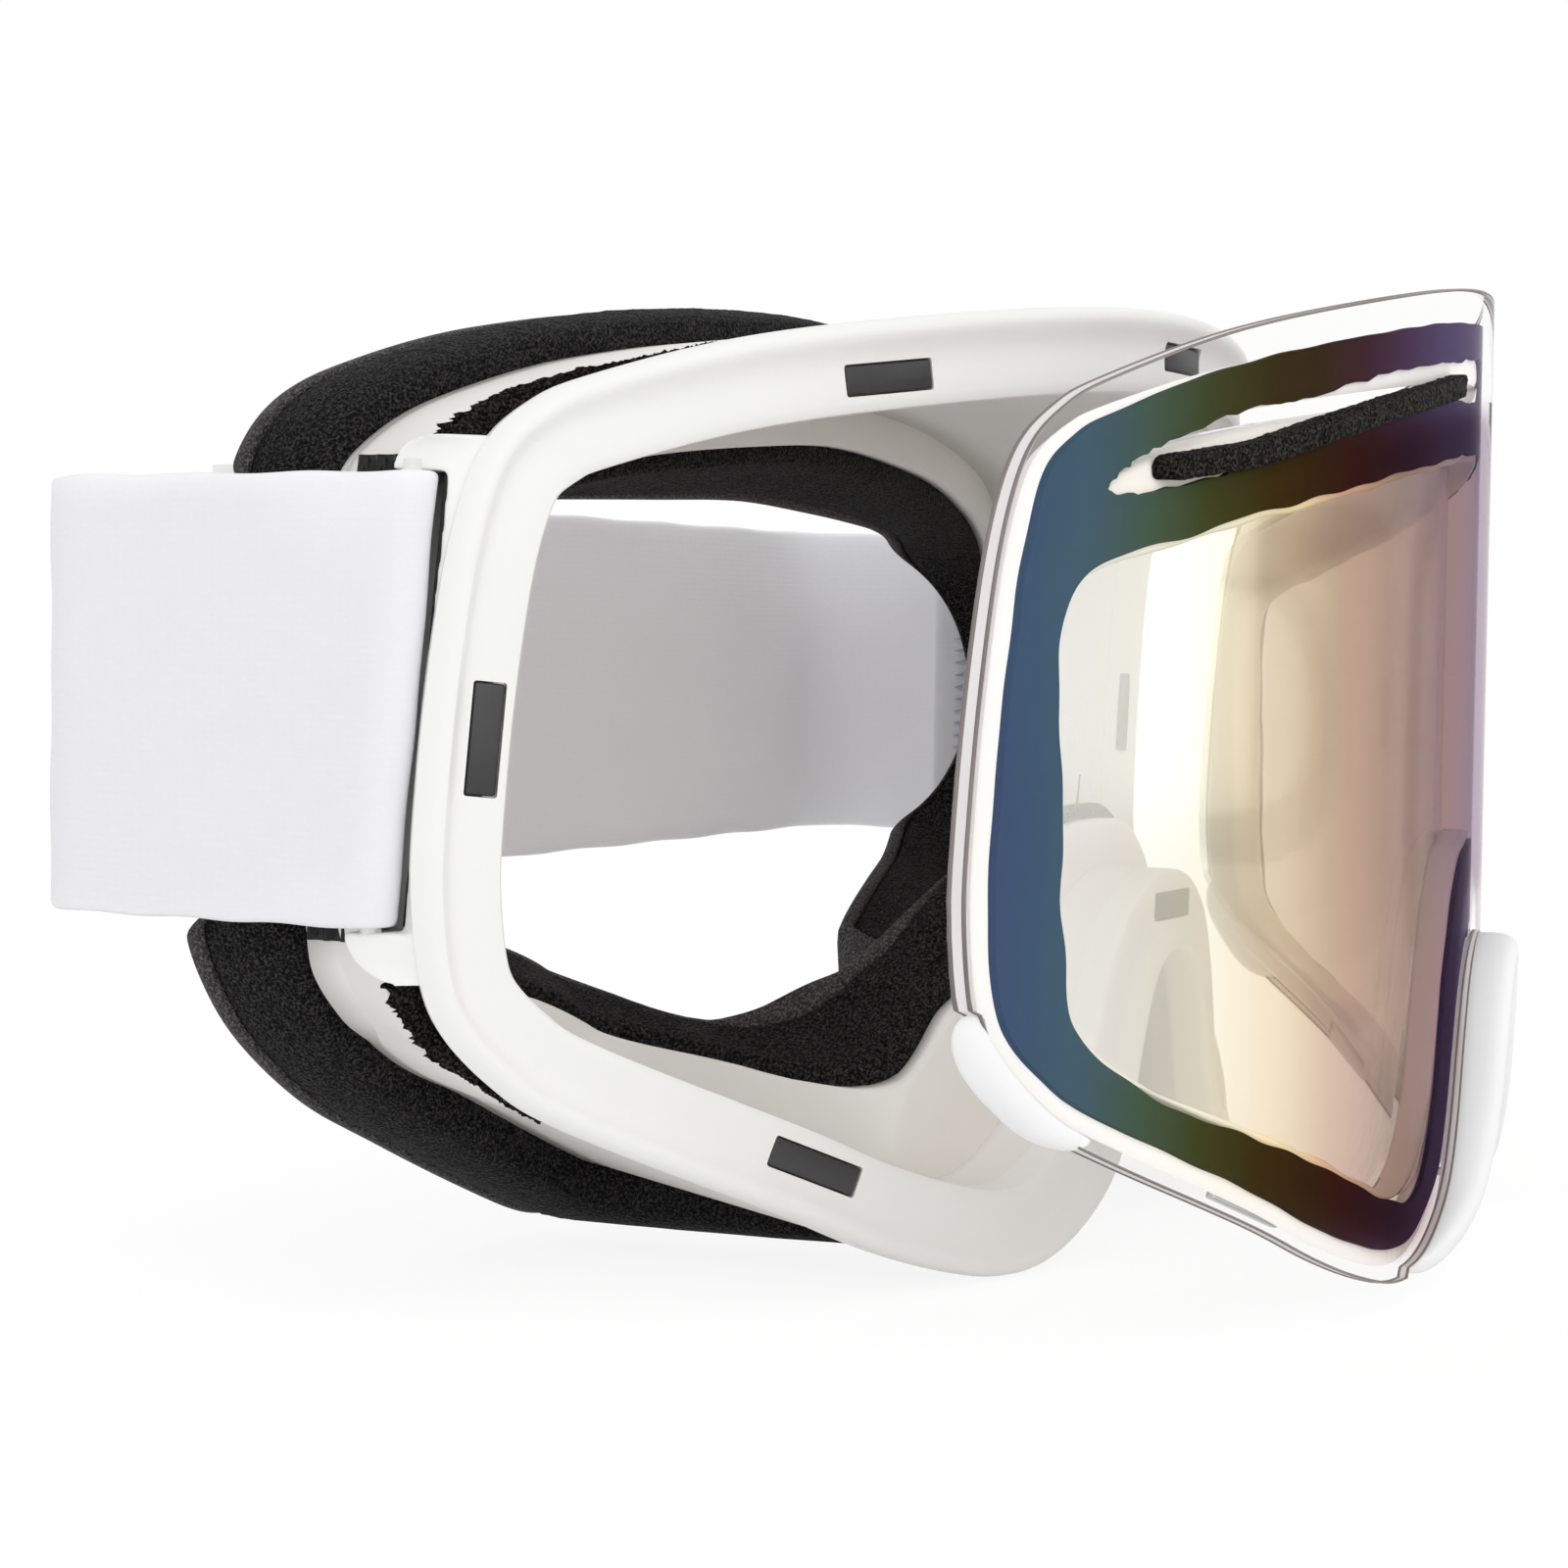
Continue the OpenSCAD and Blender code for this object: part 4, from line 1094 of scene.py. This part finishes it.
edge_line = lens_line(0, fit=1)
step_line = lens_line(1.0, fit=1)
outline = np.where(in_zone(edge_line), step_line, edge_line)
outer, flags = pane("outer_pane", outline, *LENS_R)
fine_line = even(outline, 1000)
LINE_R = 0.14


def edge_tube(level):
    """The dark line along one rim of the pane's edge."""
    return ring("line", [on_drum(inset(fine_line, 0.02 + LINE_R * math.cos(a)),
                                 level + LINE_R * math.sin(a))
                         for a in np.radians(np.arange(0, 360, 60))])


outer = joined("outer_pane", [outer, edge_tube(LENS_R[1] - 0.16), edge_tube(LENS_R[0] + 0.16)])
flags += [2] * (len(outer.data.polygons) - len(flags))
on_lens(outer, TINTED, "tinted_lens", "outer_lens")
outer.data.materials.append(PANE_EDGE)
outer.data.materials.append(PANE_LINE)
for polygon, flag in zip(outer.data.polygons, flags):
    polygon.material_index = flag
inner_edge = rim_line(RIM_W + 1.2)
inner = pane("inner_pane", inner_edge, *INNER_R)[0]
on_lens(inner, CLEAR, "clear_lens", "inner_lens")


def wavy(p, amount, seed):
    """The closed line with the slight waves of a glued edge."""
    n = len(p)
    draw = np.random.default_rng(seed)
    a = np.arange(n) / n * 2 * math.pi
    wave = sum(draw.uniform(0.4, 1) * np.sin(k * a + draw.uniform(0, 6.3))
               for k in (23, 31, 38, 47, 61)) / 2.2
    return inset(p, amount * wave)


BAND_N = 1200
window_edge = wavy(even(spline(WINDOW_FLAT, 6), BAND_N), 0.2, 11)
band_out = wavy(even(lens_line(3.2), BAND_N), 0.08, 12)
BAND_STEPS = (0, 0.02, 0.2, 0.4, 0.6, 0.8, 0.98, 1)
across = between(band_out, window_edge, BAND_STEPS)
band = ring("dark_band", [on_drum(line, MASK_R[1] - 0.02) for line in across]
            + [on_drum(line, MASK_R[0]) for line in across[::-1]])


for side in (-1, 1):
    slot = lifted(wavy(spline(share(SLOT), 8), 0.18, 13)) * [side, 1]
    cut(band, bar("slot", [on_drum(slot, 120), on_drum(slot, 112)]))
on_lens(band, BAND, "dark_mask", "lens_mask")

CARRIER_OUT = ((3, 114.3), (2.5, 114.6), (1.9, 115.2), (1.5, 115.7), (1.8, 115.8), (3, 115.8))
CARRIER_IN = ((7.8, 115.8), (8.5, 115.6), (8.6, 115), (8.5, 114.5), (8, 114.3))
carrier = ring("lens_carrier_ring", [on_drum(lens_line(d, 0), r) for d, r in CARRIER_OUT]
               + [on_drum(rim_line(d), r) for d, r in CARRIER_IN])
cut(carrier, magnet_blocks("keeper_pockets", 0.1, 112.3, 115.45, 0.1, KEEPER_IN))
on_lens(carrier, CARRIER_WHITE, "white_carrier", "lens_carrier")

spacer_in = wavy(even(spline(inset(WINDOW_FLAT, 0.9), 6), BAND_N), 0.15, 14)
spacer_out = even(inner_edge, BAND_N)
spacer = ring("spacer_tape", [
    on_drum(mixed(spacer_out, spacer_in, t), r)
    for t, r in ((0, 113.2), (0, 115.3), (0.06, 115.75), (0.5, 115.75), (0.94, 115.75),
                 (1, 115.3), (1, 113.2), (0.94, 112.85), (0.5, 112.85), (0.06, 112.85))])
on_lens(spacer, CREAM, "pale_spacer", "lens_spacer")


STRIP_HALF = 1.2
TIP = np.radians((6, 20, 35, 50, 65, 80))
STRIP_N = 140
STRIP_SECTION = [(-1, 115.9), (-1, 116.8), (-1, 117.5), (-0.93, 117.75), (-0.5, 117.8),
                 (0, 117.8), (0.5, 117.8), (0.93, 117.75), (1, 117.5), (1, 116.8), (1, 115.9),
                 (0, 115.9)]


def vent_strip(side):
    """A foam strip in the slot, with a round tip at its outer end."""
    line = lifted(share(STRIP)) * [side, 1]
    at = np.linspace(0, 4, STRIP_N)
    line = eased(np.stack([np.interp(at, range(5), line[:, k]) for k in range(2)], 1), 40)
    step = line[0] - line[-1]
    step /= np.linalg.norm(step)
    line = np.concatenate([line[0] + step * STRIP_HALF * np.cos(TIP)[:, None], line])
    width = STRIP_HALF * np.concatenate([np.sin(TIP), np.ones(STRIP_N)])
    return bar("strip", [
        np.concatenate([on_drum(np.array([[s, z + w * v]]), r) for v, r in STRIP_SECTION])
        for (s, z), w in zip(line, width)])


strips = joined("lens_vent_strips", [vent_strip(-1), vent_strip(1)])
jitter(strips, 0.05, 15)
on_lens(strips, VENT_FOAM, "lens_vent_foam", "lens_vent_foam")


BUMPER_N = 1600
BUMPER_BACK = 115.4
BUMPER_PROUD = 0.35


def boxy(v):
    """Pushes a round section out towards its corners."""
    return np.sign(v) * np.abs(v) ** 0.75


def bumper(keep, out0, out1, swell):
    """A soft bumper along the stretch of the lens's edge where keep is true."""
    flat = even(edge_line, BUMPER_N)
    at = stretch(keep(np.column_stack([front_x(flat[:, 0]), flat[:, 1]])))
    turn = np.radians(np.arange(0, 360, 15))
    rows = []
    for k, j in enumerate(at):
        u = 2 * k / (len(at) - 1) - 1
        full = max(0.05, 1 - abs(u) ** 3.5) ** 0.5
        top = LENS_R[1] + BUMPER_PROUD + swell(u)
        out = out0 + (out1 - out0) * (0.5 + 0.5 * boxy(np.cos(turn))) * full
        r = (top + BUMPER_BACK) / 2 + (top - BUMPER_BACK) / 2 * boxy(np.sin(turn)) * full
        step = flat[(j + 1) % BUMPER_N] - flat[j - 1]
        away = np.array([-step[1], step[0]]) / np.linalg.norm(step)
        spots = flat[j] + away * out[:, None]
        rows.append(np.concatenate([on_drum(spot[None], level) for spot, level in zip(spots, r)]))
    return bar("bumper", rows)


def at_corner(side):
    return lambda p: in_circle(side * p[:, 0], p[:, 1], GRIP_AT)


def at_nose(p):
    return (np.abs(p[:, 0]) < GUARD_X) & (p[:, 1] < NOSE_TOP)


for name, side in SIDES:
    grip = bumper(at_corner(side), -1.5, 1.1, lambda u: 0.0)
    grip.name = "corner_grip_" + name
    on_lens(grip, RUBBER, "white_rubber", "grip_tab_" + name)
guard = bumper(at_nose, -0.9, 3.2, lambda u: 4.0 * (1 - u ** 4))
guard.name = "nose_bumper"
on_lens(guard, RUBBER, "white_rubber", "nose_guard")
keepers = magnet_blocks("keeper_plates", 0, 114.35, 115.4, 0.2, KEEPER_IN)
on_lens(keepers, STEEL, "keeper_steel", "lens_keepers")

# Floor, light and camera
SHOWN = 0.85
GLOW = 1.04
SKY_LIGHT = 0.84
LAMP_SIZE = 0.9


def floor_material():
    """Even white with a faint shadow to the camera, and a white surface to the light."""
    n = Nodes("floor_white")
    lit = n.add("BsdfDiffuse", {"Color": (0.95, 0.95, 0.95, 1)})
    glow = n.add("Emission", {"Color": (1, 1, 1, 1), "Strength": GLOW})
    return n.surface(n.add("MixShader", {0: n.math("MULTIPLY", n.seen(), SHOWN), 1: lit, 2: glow}))


def studio_world():
    """White behind the object, and a softer even light on it."""
    n = Nodes("studio", "World")
    lit = n.add("Background", {"Color": (1, 1, 1, 1), "Strength": SKY_LIGHT})
    shown = n.add("Background", {"Color": (1, 1, 1, 1), "Strength": 1.0})
    return n.surface(n.add("MixShader", {0: n.seen(), 1: lit, 2: shown}))


def area_light(name, place, target, power):
    data = bpy.data.lights.new(name, "AREA")
    data.shape = "RECTANGLE"
    data.size = data.size_y = LAMP_SIZE
    data.energy = power
    obj = linked(name, data)
    obj.location = place
    obj.rotation_euler = (Vector(target) - Vector(place)).to_track_quat("-Z", "Y").to_euler()


FLOOR_HALF = 6000
floor_z = cad_box[0][2] / MM - 0.3
floor = new_object("floor", [(x * FLOOR_HALF, y * FLOOR_HALF, floor_z)
                             for x, y in ((-1, -1), (1, -1), (1, 1), (-1, 1))],
                   [(0, 1, 2, 3)], False)
floor.data.materials.append(floor_material())
bpy.context.scene.world = studio_world()
area_light("key", (-0.55, -0.75, 0.85), (0, -0.02, 0), 1.5)
area_light("front", (0.15, -1.0, 0.1), (0, -0.04, -0.01), 1.4)
area_light("fill", (-0.95, -0.5, 0.12), (0, 0, 0), 1.9)

# The photograph's camera, fitted to the magnets and the strap
CAMERA_AT = (-350.08, -180.58, 14.09)
TURN, TILT, ROLL = map(math.radians, (62.59, 2.69, 0.72))
CAMERA_LENS = 73.86


def camera_matrix():
    back = Vector((-math.sin(TURN) * math.cos(TILT), -math.cos(TURN) * math.cos(TILT),
                   math.sin(TILT)))
    right = Vector((math.cos(TURN), -math.sin(TURN), 0))
    up = back.cross(right)
    turned = Matrix((right, up, back)).transposed() @ Matrix.Rotation(ROLL, 3, "Z")
    return Matrix.Translation(Vector(CAMERA_AT) * MM) @ turned.to_4x4()


camera = linked("camera", bpy.data.cameras.new("camera"))
camera.data.sensor_width = 36
camera.data.lens = CAMERA_LENS
camera.data.clip_start = 0.01
camera.data.clip_end = 20
camera.matrix_world = camera_matrix()
bpy.context.scene.camera = camera
bpy.context.scene.view_settings.view_transform = "Standard"
